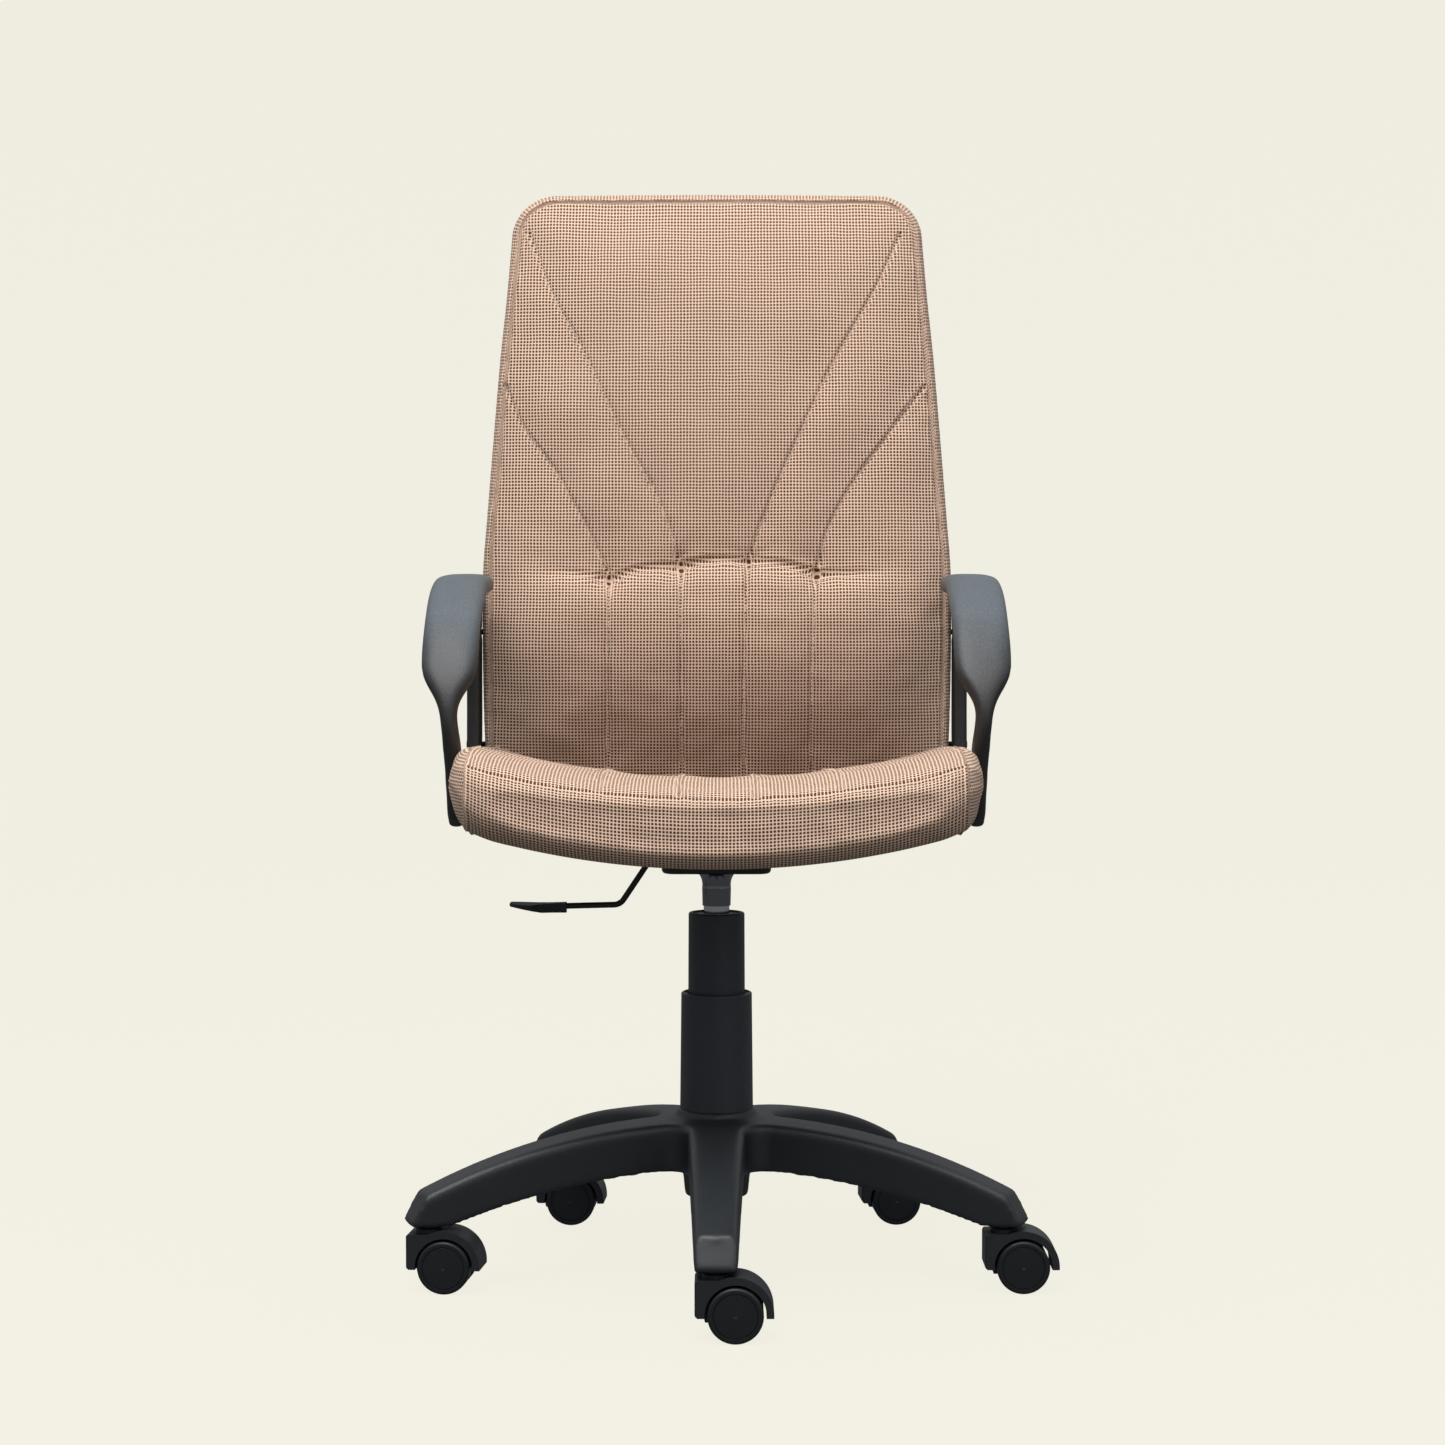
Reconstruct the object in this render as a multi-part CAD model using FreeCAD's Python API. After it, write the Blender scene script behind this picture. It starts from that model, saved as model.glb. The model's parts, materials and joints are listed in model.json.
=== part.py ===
"""High-back office swivel chair with a star base, twin-wheel casters and a gas lift.

Millimetres, +Z up. The origin is on the floor, on the column's axis. The sitter faces -Y,
so the sitter's left is +X and the height lever is on the sitter's right, at -X.
Each piece is written to parts/NODE.step. The chair stands with its seat 30 mm above its lowest place.
"""
import FreeCAD
import Part
import math
import os

V = FreeCAD.Vector
UP = V(0, 0, 1)

# Driving dimensions: casters
WHEEL_R = 26.0
WHEEL_W = 16.0
WEB_HALF = 8.0            # half the hood's centre web, which carries stem and axle
WHEEL_GAP = 0.5           # between web and wheel
TRAIL = 18.0              # from the stem's axis to the wheel's axle
STEM_R = 5.5
AXLE_R = 4.0
RUNNING = 0.05            # radial clearance of every part that turns or slides on another
HOOD_IN_R = 28.5
HOOD_OUT_R = 35.5
HOOD_HALF = 21.5
HOOD_TOP = 58.0
NECK_TOP = 61.5

# Driving dimensions: star base
STEM_CIRCLE_R = 297.0
TIP_R = 319.0
COLLAR_R = 15.5
COLLAR_Z = 62.4
HUB_TOP = 165.0
HUB_LOW = 76.0
HUB_R = 40.0
BASE_WALL = 4.0
CASTERS = {               # name: (arm's direction, direction in which the caster trails), in degrees
    "front": (-90.0, 0.0),
    "front_left": (-18.0, 0.0),
    "rear_left": (54.0, 4.0),
    "rear_right": (126.0, -3.0),
    "front_right": (198.0, -6.0),
}

# Driving dimensions: gas lift and its telescopic cover
TUBE_R = 25.0
TUBE_LOW_R = 23.8
TUBE_Z = (64.0, 325.0)
TUBE_WALL = 1.5
CYL_R = 13.0
CYL_WALL = 1.6
CYL_Z = (190.0, 406.0)
SOCKET_Z = (370.0, 408.0)
CYL_TOP_R = 12.4
ROD_R = 5.0
PIN_R = 3.0
PIN_TOP = 413.6
SLEEVE_TOP_LOWER = 282.5
SLEEVE_TOP_UPPER = 363.0

# Driving dimensions: seat plate and lever
PAN_HALF_X = 54.0
PAN_HALF_Y = 75.0
PAN_Z = (408.0, 438.5)
PLATE_T = 2.0
PLATE_SCREW = (76.0, 90.0)
LEVER_R = 3.0
LEVER_Z = 417.0
LEVER_PIVOT_X = -47.0
LEVER_PIN_R = 1.5
LEVER_BUSH_R = 6.0

# Driving dimensions: seat and back
SEAT_BEND_R = 910.0       # the seat's sides curve up round this radius
SHELL_T = 12.0
SEAT_UNDER = PAN_Z[1]     # underside of the seat's plywood at its middle
BACK_LOW = 462.0
BACK_TOP = 1115.0
BACK_HALF = 250.0
BACK_SHELL_T = 15.0
ARM_X = 258.5             # middle of the armrests' posts
POST_W = 15.0
BOLT_R = 3.0


# Outlines and plain solids

def on_xy(a, b):
    return V(a, b, 0)


def on_xz(a, b):
    return V(a, 0, b)


def on_yz(a, b):
    return V(0, a, b)


def outline(plane, start, *steps):
    """A closed face. A step is a point (a line) or a pair of points (an arc through the first)."""
    edges, here = [], start
    for step in steps:
        if isinstance(step[0], tuple):
            mid, end = step
            edges.append(Part.Arc(plane(*here), plane(*mid), plane(*end)).toShape())
        else:
            end = step
            edges.append(Part.makeLine(plane(*here), plane(*end)))
        here = end
    if math.dist(here, start) > 1e-6:
        edges.append(Part.makeLine(plane(*here), plane(*start)))
    return Part.Face(Part.Wire(edges))


def slab(plane, low, high, start, *steps):
    """An outline extruded along the axis across its plane, from low to high."""
    axis = plane(0, 0) + {on_xy: V(0, 0, 1), on_xz: V(0, 1, 0), on_yz: V(1, 0, 0)}[plane]
    face = outline(plane, start, *steps)
    face.translate(axis * low)
    return face.extrude(axis * (high - low))


def turned(*points):
    """A solid of revolution about Z, from (radius, height) points."""
    return outline(on_xz, *points).revolve(V(0, 0, 0), UP, 360)


def rod(radius, low, high, x=0.0, y=0.0):
    return Part.makeCylinder(radius, high - low, V(x, y, low))


def tube(outer, inner, low, high):
    return rod(outer, low, high).cut(rod(inner, low - 1, high + 1))


def cross_rod(radius, x_low, x_high, y, z):
    return Part.makeCylinder(radius, x_high - x_low, V(x_low, y, z), V(1, 0, 0))


def block(x, y, z):
    """A box from three (low, high) pairs."""
    return Part.makeBox(x[1] - x[0], y[1] - y[0], z[1] - z[0], V(x[0], y[0], z[0]))


def turned_about_z(shape, degrees):
    shape = shape.copy()
    shape.rotate(V(0, 0, 0), UP, degrees)
    return shape


def rounded(shape, radius, chosen):
    """Fillets the edges for which chosen(edge) is true."""
    edges = [e for e in shape.Edges if chosen(e)]
    return shape.makeFillet(radius, edges) if edges else shape


def save(node, *shapes):
    solids = [s for shape in shapes for s in shape.Solids]
    whole = solids[0] if len(solids) == 1 else Part.makeCompound(solids)
    assert all(s.isValid() and s.Volume > 0 for s in solids), node
    whole.exportStep(os.path.join("parts", node + ".step"))
    box = whole.BoundBox
    heights = f"z {box.ZMin:.1f} to {box.ZMax:.1f}"
    print(f"{node}: {len(solids)} solid(s), {heights}, {whole.Volume / 1000:.1f} cm3")


# Casters. Local frame: the stem's axis is Z at x 0, and the wheels trail along +X.

def caster_hood():
    wheel_room = Part.makeCylinder(HOOD_IN_R, 100, V(TRAIL, -50, WHEEL_R), V(0, 1, 0))
    disc = Part.makeCylinder(HOOD_OUT_R, 2 * HOOD_HALF, V(TRAIL, -HOOD_HALF, WHEEL_R), V(0, 1, 0))
    arch = disc.common(block((-60, 60), (-60, 60), (WHEEL_R - 2.5, 80)))
    front = block((-19.7, 2), (-HOOD_HALF, HOOD_HALF), (WHEEL_R - 2.0, HOOD_TOP))
    front = rounded(front, 3.0, lambda e: e.BoundBox.XMax < -19 and e.BoundBox.ZMin > WHEEL_R - 3)
    web_disc = Part.makeCylinder(HOOD_IN_R + 1, 2 * WEB_HALF, V(TRAIL, -WEB_HALF, WHEEL_R), V(0, 1, 0))
    web = web_disc.common(block((-60, TRAIL + 12), (-60, 60), (WHEEL_R - 9.0, 80)))
    hood = arch.fuse(front).cut(wheel_room).fuse(web)
    hood = hood.fuse(rod(13.0, 53.0, NECK_TOP))
    hood = hood.cut(rod(STEM_R + RUNNING, 37.5, NECK_TOP + 5))
    return hood.cut(caster_axle()).removeSplitter()


def caster_axle():
    half = WEB_HALF + WHEEL_GAP + WHEEL_W - 2.5
    return Part.makeCylinder(AXLE_R, 2 * half, V(TRAIL, -half, WHEEL_R), V(0, 1, 0))


def caster_wheel(side):
    """One wheel, on the -Y (side -1) or +Y (side 1) face of the web, hollow towards the web."""
    inner = WEB_HALF + WHEEL_GAP
    rim = 2.5
    face = outline(
        on_xz, (AXLE_R + RUNNING, 0), (7.5, 0), (7.5, 2.5), (7.5, 9.5), (21.5, 9.5), (21.5, 0),
        (WHEEL_R - 1, 0), (WHEEL_R, 1), (WHEEL_R, WHEEL_W - rim),
        ((WHEEL_R - 0.3 * rim, WHEEL_W - 0.3 * rim), (WHEEL_R - rim, WHEEL_W)),
        (21.2, WHEEL_W), (20.8, WHEEL_W - 0.8), (20.4, WHEEL_W - 0.8), (20.0, WHEEL_W - 0.2),
        (0, WHEEL_W + 0.2),
        (0, 14), (AXLE_R + RUNNING, 14),
    )
    wheel = face.revolve(V(0, 0, 0), UP, 360)
    wheel.rotate(V(0, 0, 0), V(1, 0, 0), -90 * side)
    wheel.translate(V(TRAIL, side * inner, WHEEL_R))
    return wheel


def caster_stem():
    """The steel stem, with its flange and the groove that its grip ring sits in."""
    return turned(
        (0, 38), (STEM_R - 1, 38), (STEM_R, 39), (STEM_R, 78), (STEM_R - 0.8, 78),
        (STEM_R - 0.8, 82), (STEM_R, 82), (STEM_R, 89), (STEM_R - 1.5, 91), (0, 91),
    )


def grip_ring():
    return tube(STEM_R + 0.3, STEM_R - 0.8, 78.0, 82.0).cut(block((0, 20), (-0.8, 0.8), (70, 90)))


def at_caster(shape, name):
    """Puts a shape from the caster's own frame at its arm's tip, trailing as this caster does."""
    arm, trail = CASTERS[name]
    place = turned_about_z(shape, trail)
    place.translate(V(STEM_CIRCLE_R * math.cos(math.radians(arm)),
        STEM_CIRCLE_R * math.sin(math.radians(arm)), 0))
    return place


# Star base

def star_plan(root_half, tip_half, tip_r, blend_r, corner_r):
    """The star's outline as a tall prism: five tapering arms, with their inner corners blended."""
    star = rod(root_half, 0, 300)
    for arm, _ in CASTERS.values():
        bar = slab(on_xy, 0, 300, (0, -root_half), (tip_r, -tip_half), (tip_r, tip_half),
            (0, root_half))
        bar = rounded(bar, corner_r, lambda e: e.Length > 299 and e.BoundBox.XMin > tip_r - 1)
        star = star.fuse(turned_about_z(bar, arm))
    star = star.removeSplitter()
    corners = [e for e in star.Edges if e.Length > 299 and math.hypot(e.BoundBox.XMin,
        e.BoundBox.YMin) < 90]
    return star.makeFillet(blend_r, corners)


def star_body():
    """The arms' side view turned about the column and cut to the star's plan."""
    side = turned(
        (0, HUB_TOP - 5), (HUB_R + 2, HUB_TOP - 7), (52, 155.5), ((170, 141.5), (304, 97)),
        (TIP_R, 69), (TIP_R - 1, 65), (281, 64.5), ((170, 95), (54, 108)), (HUB_R - 8, 100), (0, 100),
    )
    body = star_plan(30.5, 19.5, TIP_R + 5, 22.0, 9.0).common(side)

    def top_edge(e):
        p = e.valueAt((e.FirstParameter + e.LastParameter) / 2)
        r = math.hypot(p.x, p.y)
        ruled = e.BoundBox.ZMin > 80 and 60 < r < 312
        return ruled and e.Length > 30 and e.BoundBox.ZLength > 1.0

    return rounded(body, 7.5, top_edge)


def star_hollow():
    """The room inside the arms, open below."""
    side = turned(
        (46, 151.0), ((170, 137.3), (302, 92.8)), (TIP_R - 6, 69), (TIP_R - 6, 40), (46, 40),
    )
    return star_plan(30.5 - BASE_WALL, 19.5 - BASE_WALL, TIP_R - 6, 22.0, 5.0).common(side)


def star_ribs():
    """In each arm, one rib along it and four across, inside the walls."""
    inside = star_hollow()
    ribs = []
    for arm, _ in CASTERS.values():
        rib = block((44, TIP_R), (-1.5, 1.5), (70, 160))
        for r in (95, 150, 205, 255):
            rib = rib.fuse(block((r - 1.5, r + 1.5), (-40, 40), (70, 160)))
        ribs.append(turned_about_z(rib, arm))
    under = turned((0, 170), (TIP_R, 170), (TIP_R, 70), (281, 69), ((170, 100), (54, 113)), (0, 113))
    return inside.common(Part.makeCompound(ribs)).common(under)


def star_base():
    hub = turned(
        (0, HUB_LOW), (30.5, HUB_LOW), (32, HUB_LOW + 2), (34, 100),
        (HUB_R + 1.5, 112), (HUB_R + 1.5, 152),
        (HUB_R, 161), (HUB_R - 0.5, HUB_TOP), (0, HUB_TOP),
    )
    base = star_body().cut(star_hollow()).fuse(star_ribs()).fuse(hub)
    for arm, _ in CASTERS.values():
        x = STEM_CIRCLE_R * math.cos(math.radians(arm))
        y = STEM_CIRCLE_R * math.sin(math.radians(arm))
        collar = rod(COLLAR_R, COLLAR_Z, 68, x, y).fuse(rod(10.0, 62.5, 95, x, y))
        base = base.fuse(collar).cut(rod(STEM_R + 0.3, 77.5, 92, x, y)).cut(rod(STEM_R, 60, 80, x, y))
    seat_of_tube = turned((0, 60), (TUBE_LOW_R, 60), (TUBE_LOW_R, HUB_LOW), (TUBE_R, HUB_TOP),
        (TUBE_R, 180), (0, 180))
    return base.cut(seat_of_tube).removeSplitter()


# Gas lift

def stand_tube():
    """The outer tube, tapered where the hub grips it, with a turned-in bottom that the rod passes."""
    low, top = TUBE_Z
    wall = TUBE_WALL
    return turned(
        (ROD_R + RUNNING, low), (TUBE_LOW_R - 1, low), (TUBE_LOW_R, low + 1),
        (TUBE_LOW_R, HUB_LOW), (TUBE_R, HUB_TOP),
        (TUBE_R, top), (TUBE_R - wall, top), (TUBE_R - wall, HUB_TOP), (TUBE_LOW_R - wall, HUB_LOW),
        (TUBE_LOW_R - wall, low + 3), (ROD_R + RUNNING, low + 3),
    )


def guide_bush():
    inner = CYL_R + RUNNING
    outer = TUBE_R - TUBE_WALL
    low, top = 247.0, TUBE_Z[1] - 0.5
    return turned(
        (inner, low), (outer, low), (outer, low + 20), (outer - 3, low + 22), (outer - 3, top - 22),
        (outer, top - 20), (outer, top), (inner, top),
    )


def gas_cylinder():
    """The inner tube, which rises with the seat. Its top tapers into the seat plate's socket."""
    low, top = CYL_Z
    shoulder = top - 1
    neck = CYL_R - (CYL_R - CYL_TOP_R) * (shoulder - SOCKET_Z[0]) / (SOCKET_Z[1] - SOCKET_Z[0])
    inner = CYL_R - CYL_WALL
    return turned(
        (inner, low), (CYL_R, low), (CYL_R, SOCKET_Z[0]), (neck, shoulder), (neck - 0.8, top),
        (5.0, top), (5.0, top - 2), (inner, top - 3),
    )


def valve_body():
    inner = CYL_R - CYL_WALL
    top = CYL_Z[1] - 3
    return turned(
        (PIN_R + RUNNING, top - 30), (inner - 1, top - 30), (inner - 1, top - 22), (inner, top - 20),
        (inner, top), (PIN_R + RUNNING, top),
    )


def rod_seal_pack():
    low = CYL_Z[0]
    return tube(CYL_R - CYL_WALL, ROD_R + RUNNING, low, low + 15)


def release_pin():
    return turned((0, 382), (2.2, 382), (PIN_R, 383), (PIN_R, PIN_TOP - 0.6),
        (PIN_R - 0.6, PIN_TOP), (0, PIN_TOP))


def piston_rod():
    return turned(
        (0, 59), (ROD_R - 0.6, 59), (ROD_R, 59.6), (ROD_R, 61.4), (4.2, 61.4), (4.2, 63.4),
        (ROD_R, 63.4), (ROD_R, 74), (8, 74), (8, 78), (ROD_R, 78), (ROD_R, 294), (3.5, 294),
        (3.5, 308), (0, 308),
    )


def piston():
    outer = CYL_R - CYL_WALL - RUNNING
    return turned(
        (3.5, 294), (outer, 294), (outer, 298.5), (outer - 1.6, 298.5), (outer - 1.6, 301.5),
        (outer, 301.5), (outer, 306), (3.5, 306),
    )


def piston_seal():
    outer = CYL_R - CYL_WALL - RUNNING
    return tube(outer, outer - 1.6, 298.5, 301.5)


def bearing_washer(low):
    return tube(11.0, ROD_R + 0.1, low, low + 2)


def thrust_balls():
    return [
        Part.makeSphere(1.45, V(8 * math.cos(i * math.pi / 5), 8 * math.sin(i * math.pi / 5), 70.5))
        for i in range(10)
    ]


def retaining_clip():
    return tube(8.5, 4.2, 61.4, 63.4).cut(block((0, 20), (-3.6, 3.6), (50, 70)))


# Telescopic cover

def sleeve_lower():
    top = SLEEVE_TOP_LOWER
    return turned(
        (34.8, HUB_TOP), (36.8, HUB_TOP), (35.6, top - 3), ((35.2, top - 0.8), (34, top)),
        (32.4, top), (32.4, top - 2), (33.5, top - 3.5),
    )


def sleeve_middle():
    low, top = 183.0, SLEEVE_TOP_LOWER - 1.5
    return turned(
        (30.6, low), (32.6, low), (32.6, low + 3), (32.0, low + 3.5), (31.8, top - 1), (31.3, top),
        (29.9, top), (29.9, top - 2), (30.4, top - 2.5),
    )


def sleeve_upper():
    low, top = 200.0, SLEEVE_TOP_UPPER
    return turned(
        (27.2, low), (29.3, low), (29.3, low + 3), (28.9, low + 3.5),
        (28.2, top - 2), ((27.7, top - 0.6), (26.4, top)),
        (24.5, top), (24.0, top - 1.5), (CYL_R, top - 1.5), (CYL_R, top - 4), (26.4, top - 4),
    )


# Seat plate and lever

def swivel_plate():
    """A pressed pan whose rim is screwed to the seat. The column's socket is welded under it."""
    low, top = PAN_Z
    pan = block((-PAN_HALF_X, PAN_HALF_X), (-PAN_HALF_Y, PAN_HALF_Y), (low, top))
    pan = rounded(pan, 14.0, lambda e: e.BoundBox.ZLength > 30)
    pan = rounded(pan, 4.0, lambda e: e.BoundBox.ZMax < low + 1)
    room = block(
        (PLATE_T - PAN_HALF_X, PAN_HALF_X - PLATE_T),
        (PLATE_T - PAN_HALF_Y, PAN_HALF_Y - PLATE_T),
        (low + PLATE_T, top + 5),
    )
    room = rounded(room, 12.0, lambda e: e.BoundBox.ZLength > 30)
    room = rounded(room, 2.0, lambda e: e.BoundBox.ZMax < low + PLATE_T + 1)
    rim = block((-92, 92), (-108, 108), (top - 2.5, top))
    rim = rounded(rim, 16.0, lambda e: abs(e.BoundBox.ZLength - 2.5) < 0.1)
    plate = pan.fuse(rim).cut(room).cut(rod(CYL_TOP_R, low - 5, low + 10))
    plate = plate.cut(cross_rod(LEVER_BUSH_R, -70, -40, 0, LEVER_Z))
    for x, y in plate_screw_places():
        plate = plate.cut(rod(3.3, top - 10, top + 10, x, y))
    return plate.removeSplitter()


def plate_screw_places():
    return [(sx * PLATE_SCREW[0], sy * PLATE_SCREW[1]) for sx in (-1, 1) for sy in (-1, 1)]


def taper_socket():
    low, top = SOCKET_Z
    return turned(
        (CYL_R, low), (14.2, low), (14.6, 388), ((17.5, 401), (28, top)), (CYL_TOP_R, top),
    )


def plate_screw(x, y):
    """A flanged hexagon screw, up through the rim into its tee nut."""
    top = PAN_Z[1]
    head = Part.Face(Part.makePolygon([
        V(5.5 * math.cos(i * math.pi / 3), 5.5 * math.sin(i * math.pi / 3), top - 8) for i in range(7)
    ])).extrude(V(0, 0, 4.5))
    screw = head.fuse(rod(7.5, top - 3.9, top - 2.5)).fuse(rod(BOLT_R, top - 4, top + 11))
    screw.translate(V(x, y, 0))
    return screw


def tee_nut(x, y):
    """The nut's barrel is pressed up into the plywood, with its flange on top."""
    top = SEAT_UNDER + SHELL_T
    nut = rod(4.5, SEAT_UNDER + 1,
        top).fuse(rod(9.0, top, top + 1.2)).cut(rod(BOLT_R, SEAT_UNDER, top + 5))
    nut.translate(V(x, y, 0))
    return nut


def pivot_rod(radius, half):
    """A round bar along the lever's pivot axis."""
    return Part.makeCylinder(radius, 2 * half, V(LEVER_PIVOT_X, -half, LEVER_Z), V(0, 1, 0))


def lever_bush():
    """The plastic housing in the pan's wall, bored wide for the lever and drilled across for its pin."""
    wall = -PAN_HALF_X
    body = cross_rod(LEVER_BUSH_R, wall - 2.5, LEVER_PIVOT_X + 5, 0, LEVER_Z)
    body = body.fuse(cross_rod(LEVER_BUSH_R + 1.5, wall - 2.5, wall, 0, LEVER_Z))
    body = body.cut(cross_rod(LEVER_R + 1.3, wall - 10, wall + 30, 0, LEVER_Z))
    return body.cut(pivot_rod(LEVER_PIN_R + RUNNING, 20))


def lever_pin():
    """The cross pin pressed through the lever, which turns in the housing."""
    return pivot_rod(LEVER_PIN_R, LEVER_BUSH_R - 0.6)


def lever_rod():
    """Bent round bar: level over the release pin, sloping down past the pan, then out to the grip."""
    points = [V(10, 0, LEVER_Z), V(-66, 0, LEVER_Z), V(-97, 0, 370.6), V(-185, 0, 368.4)]
    bend_r = 12.0
    edges, here = [], points[0]
    for i in (1, 2):
        back = (points[i - 1] - points[i]).normalize()
        ahead = (points[i + 1] - points[i]).normalize()
        half = math.acos(max(-1.0, min(1.0, back.dot(ahead)))) / 2
        reach = bend_r / math.tan(half)
        start, end = points[i] + back * reach, points[i] + ahead * reach
        middle = points[i] + (back + ahead).normalize() * (bend_r / math.sin(half) - bend_r)
        edges += [Part.makeLine(here, start), Part.Arc(start, middle, end).toShape()]
        here = end
    edges.append(Part.makeLine(here, points[-1]))
    ring = Part.Wire([Part.makeCircle(LEVER_R, points[0], V(1, 0, 0))])
    return Part.Wire(edges).makePipeShell([ring], True, False).cut(pivot_rod(LEVER_PIN_R, 10))


def lever_grip():
    """A flat paddle pushed on to the lever's end."""
    side = slab(
        on_xz, -20, 20, (-151, 372.8), (-178, 371.8), ((-192, 371.5),
            (-206, 372.6)), ((-208.5, 371.2), (-206, 369.2)),
        ((-196, 367.6), (-184, 365.0)), (-176, 363.2), (-151, 363.0),
    )
    plan = slab(
        on_xy, 350, 400, (-151, -6.5), ((-165, -7.5), (-180, -12.5)), ((-208.5, 0), (-180, 12.5)),
        ((-165, 7.5), (-151, 6.5)),
    )
    return side.common(plan).cut(lever_rod())


# Seat

def bent(face):
    """Sweeps a face in the YZ plane sideways both ways round the seat's bend."""
    axis = V(0, 0, SEAT_UNDER + SEAT_BEND_R)
    half = 20.0
    face = face.copy()
    face.rotate(axis, V(0, 1, 0), half)
    return face.revolve(axis, V(0, 1, 0), -2 * half)


def seat_plan(half_front, half_rear, front, rear, corner):
    plan = slab(
        on_xy, 350, 700, (-half_rear, rear), (half_rear, rear), (half_front - 7.5, -60),
        (half_front, front + 75),
        (half_front - 22, front + 12), ((0, front), (22 - half_front, front + 12)),
        (-half_front, front + 75),
        (7.5 - half_front, -60),
    )
    return rounded(plan, corner, lambda e: e.Length > 349 and abs(e.BoundBox.XMin) > 100)


def seat_shell():
    """Bent plywood, with a flat pad under it for the seat plate."""
    face = outline(
        on_yz, (198, SEAT_UNDER), (198, SEAT_UNDER + SHELL_T), (-232, SEAT_UNDER + SHELL_T),
        (-232, SEAT_UNDER),
    )
    shell = bent(face).common(seat_plan(244, 226, -236, 198, 30.0))
    pad = block((-98, 98), (-114, 114), (SEAT_UNDER, SEAT_UNDER + 8))
    shell = shell.fuse(pad).removeSplitter()
    for x, y in plate_screw_places():
        shell = shell.cut(rod(4.5, SEAT_UNDER + 1, 500, x, y)).cut(rod(BOLT_R, SEAT_UNDER - 5,
            SEAT_UNDER + 5, x, y))
        shell = shell.cut(rod(9.0, SEAT_UNDER + SHELL_T, SEAT_UNDER + SHELL_T + 20, x, y))
    return shell


def seat_body():
    """The upholstered seat's outer shape, with its waterfall front."""
    under = SEAT_UNDER
    side = outline(
        on_yz, (205, under), (-195, under), ((-217, under - 4), (-235, 427)), ((-255, 439),
            (-257, 464)),
        ((-251, 484), (-233, 495)), ((-196, 507), (-150, 511)), ((20, 505),
            (205, 488)), ((222, 465), (205, under)),
    )
    ends = slab(
        on_xz, -300, 300, (-240, 426), (0, 396), (240, 426), (247, 455), ((258, 488),
            (228, 534)), (0, 600), (-228, 534),
        ((-258, 488), (-247, 455)),
    )
    return bent(side).common(ends).common(seat_plan(257, 240, -258, 222, 45.0))


def seat_cushion(shell):
    body = seat_body().cut(shell)
    for x, y in plate_screw_places():
        body = body.cut(rod(9.0, 440, SEAT_UNDER + SHELL_T + 1.3, x, y))
    return max(body.cut(seat_bolt_room()).Solids, key=lambda s: s.Volume)


def seat_dust_cover():
    """Black cloth stapled under the seat, cut out round the seat plate."""
    under = SEAT_UNDER
    sheet = bent(outline(on_yz, (190, under - 1.2), (190, under), (-190, under), (-190, under - 1.2)))
    sheet = sheet.common(seat_plan(214, 203, -189, 189, 26.0))
    return sheet.cut(block((-100, 100), (-116, 116), (400, 470)))


# Back

def back_line_y(z):
    """Where the plywood's front face is at height z: an arc that leans back more as it rises."""
    circle = Part.Circle(on_yz(207, 455), on_yz(238, 760), on_yz(324, 1100))
    return circle.Center.y - math.sqrt(circle.Radius ** 2 - (z - circle.Center.z) ** 2)


def back_front_view(inset):
    """The back's outline seen from the front, as a long prism, drawn in by inset all round."""
    half, low, top = BACK_HALF - inset, BACK_LOW + inset, BACK_TOP - inset
    corner = 48.0 - inset
    plan = slab(
        on_xz, 0, 500, (4 - half, low), (half - 4, low), ((half + 0.5, 690),
            (half - 9, 845)), (half - 27.5, top - 40),
        (half - 30, top), (30 - half, top), (27.5 - half, top - 40),
        (9 - half, 845), ((-half - 0.5, 690), (4 - half, low)),
    )
    plan = rounded(plan, corner, lambda e: e.Length > 499 and e.BoundBox.ZMin > top - 1)
    return rounded(plan, 20.0, lambda e: e.Length > 499 and e.BoundBox.ZMax < low + 1)


def back_band(front_gap, rear_gap):
    """A layer of the back between two distances from the plywood's front face, oversize all round."""
    low, mid, top = BACK_LOW - 10, 800.0, BACK_TOP + 10

    def at(z, gap):
        return (back_line_y(z) + gap, z)

    return slab(
        on_yz, -300, 300, at(low, front_gap), (at(mid, front_gap), at(top, front_gap)), at(top,
            rear_gap),
        (at(mid, rear_gap), at(low, rear_gap)),
    )


def back_shell():
    shell = back_band(0, BACK_SHELL_T).common(back_front_view(8.0)).cut(back_bolt_room())
    return max(shell.cut(seat_body()).Solids, key=lambda s: s.Volume)


def back_cushion():
    """Foam and cover in front of the plywood and round its edge, fullest at the lumbar roll."""
    low, top = BACK_LOW - 10, BACK_TOP + 10
    bulge = slab(
        on_yz, -300, 300, (back_line_y(low) + 1, low), (158, low), ((166, 640),
            (199, 752)), ((240, 930), (300, top)),
        (back_line_y(top) + 1, top), ((back_line_y(790) + 1, 790), (back_line_y(low) + 1, low)),
    )
    body = bulge.fuse(back_band(0, BACK_SHELL_T)).common(back_front_view(0.0))
    body = body.cut(back_band(0, BACK_SHELL_T).common(back_front_view(8.0)))
    body = body.cut(seat_body()).cut(back_bolt_room())
    return max(body.Solids, key=lambda s: s.Volume)


def back_rear_cover():
    cover = back_band(BACK_SHELL_T, BACK_SHELL_T + 12).common(back_front_view(3.0))
    return max(cover.cut(seat_body()).Solids, key=lambda s: s.Volume)


# Armrests, made for the sitter's left (+X) and mirrored

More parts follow.
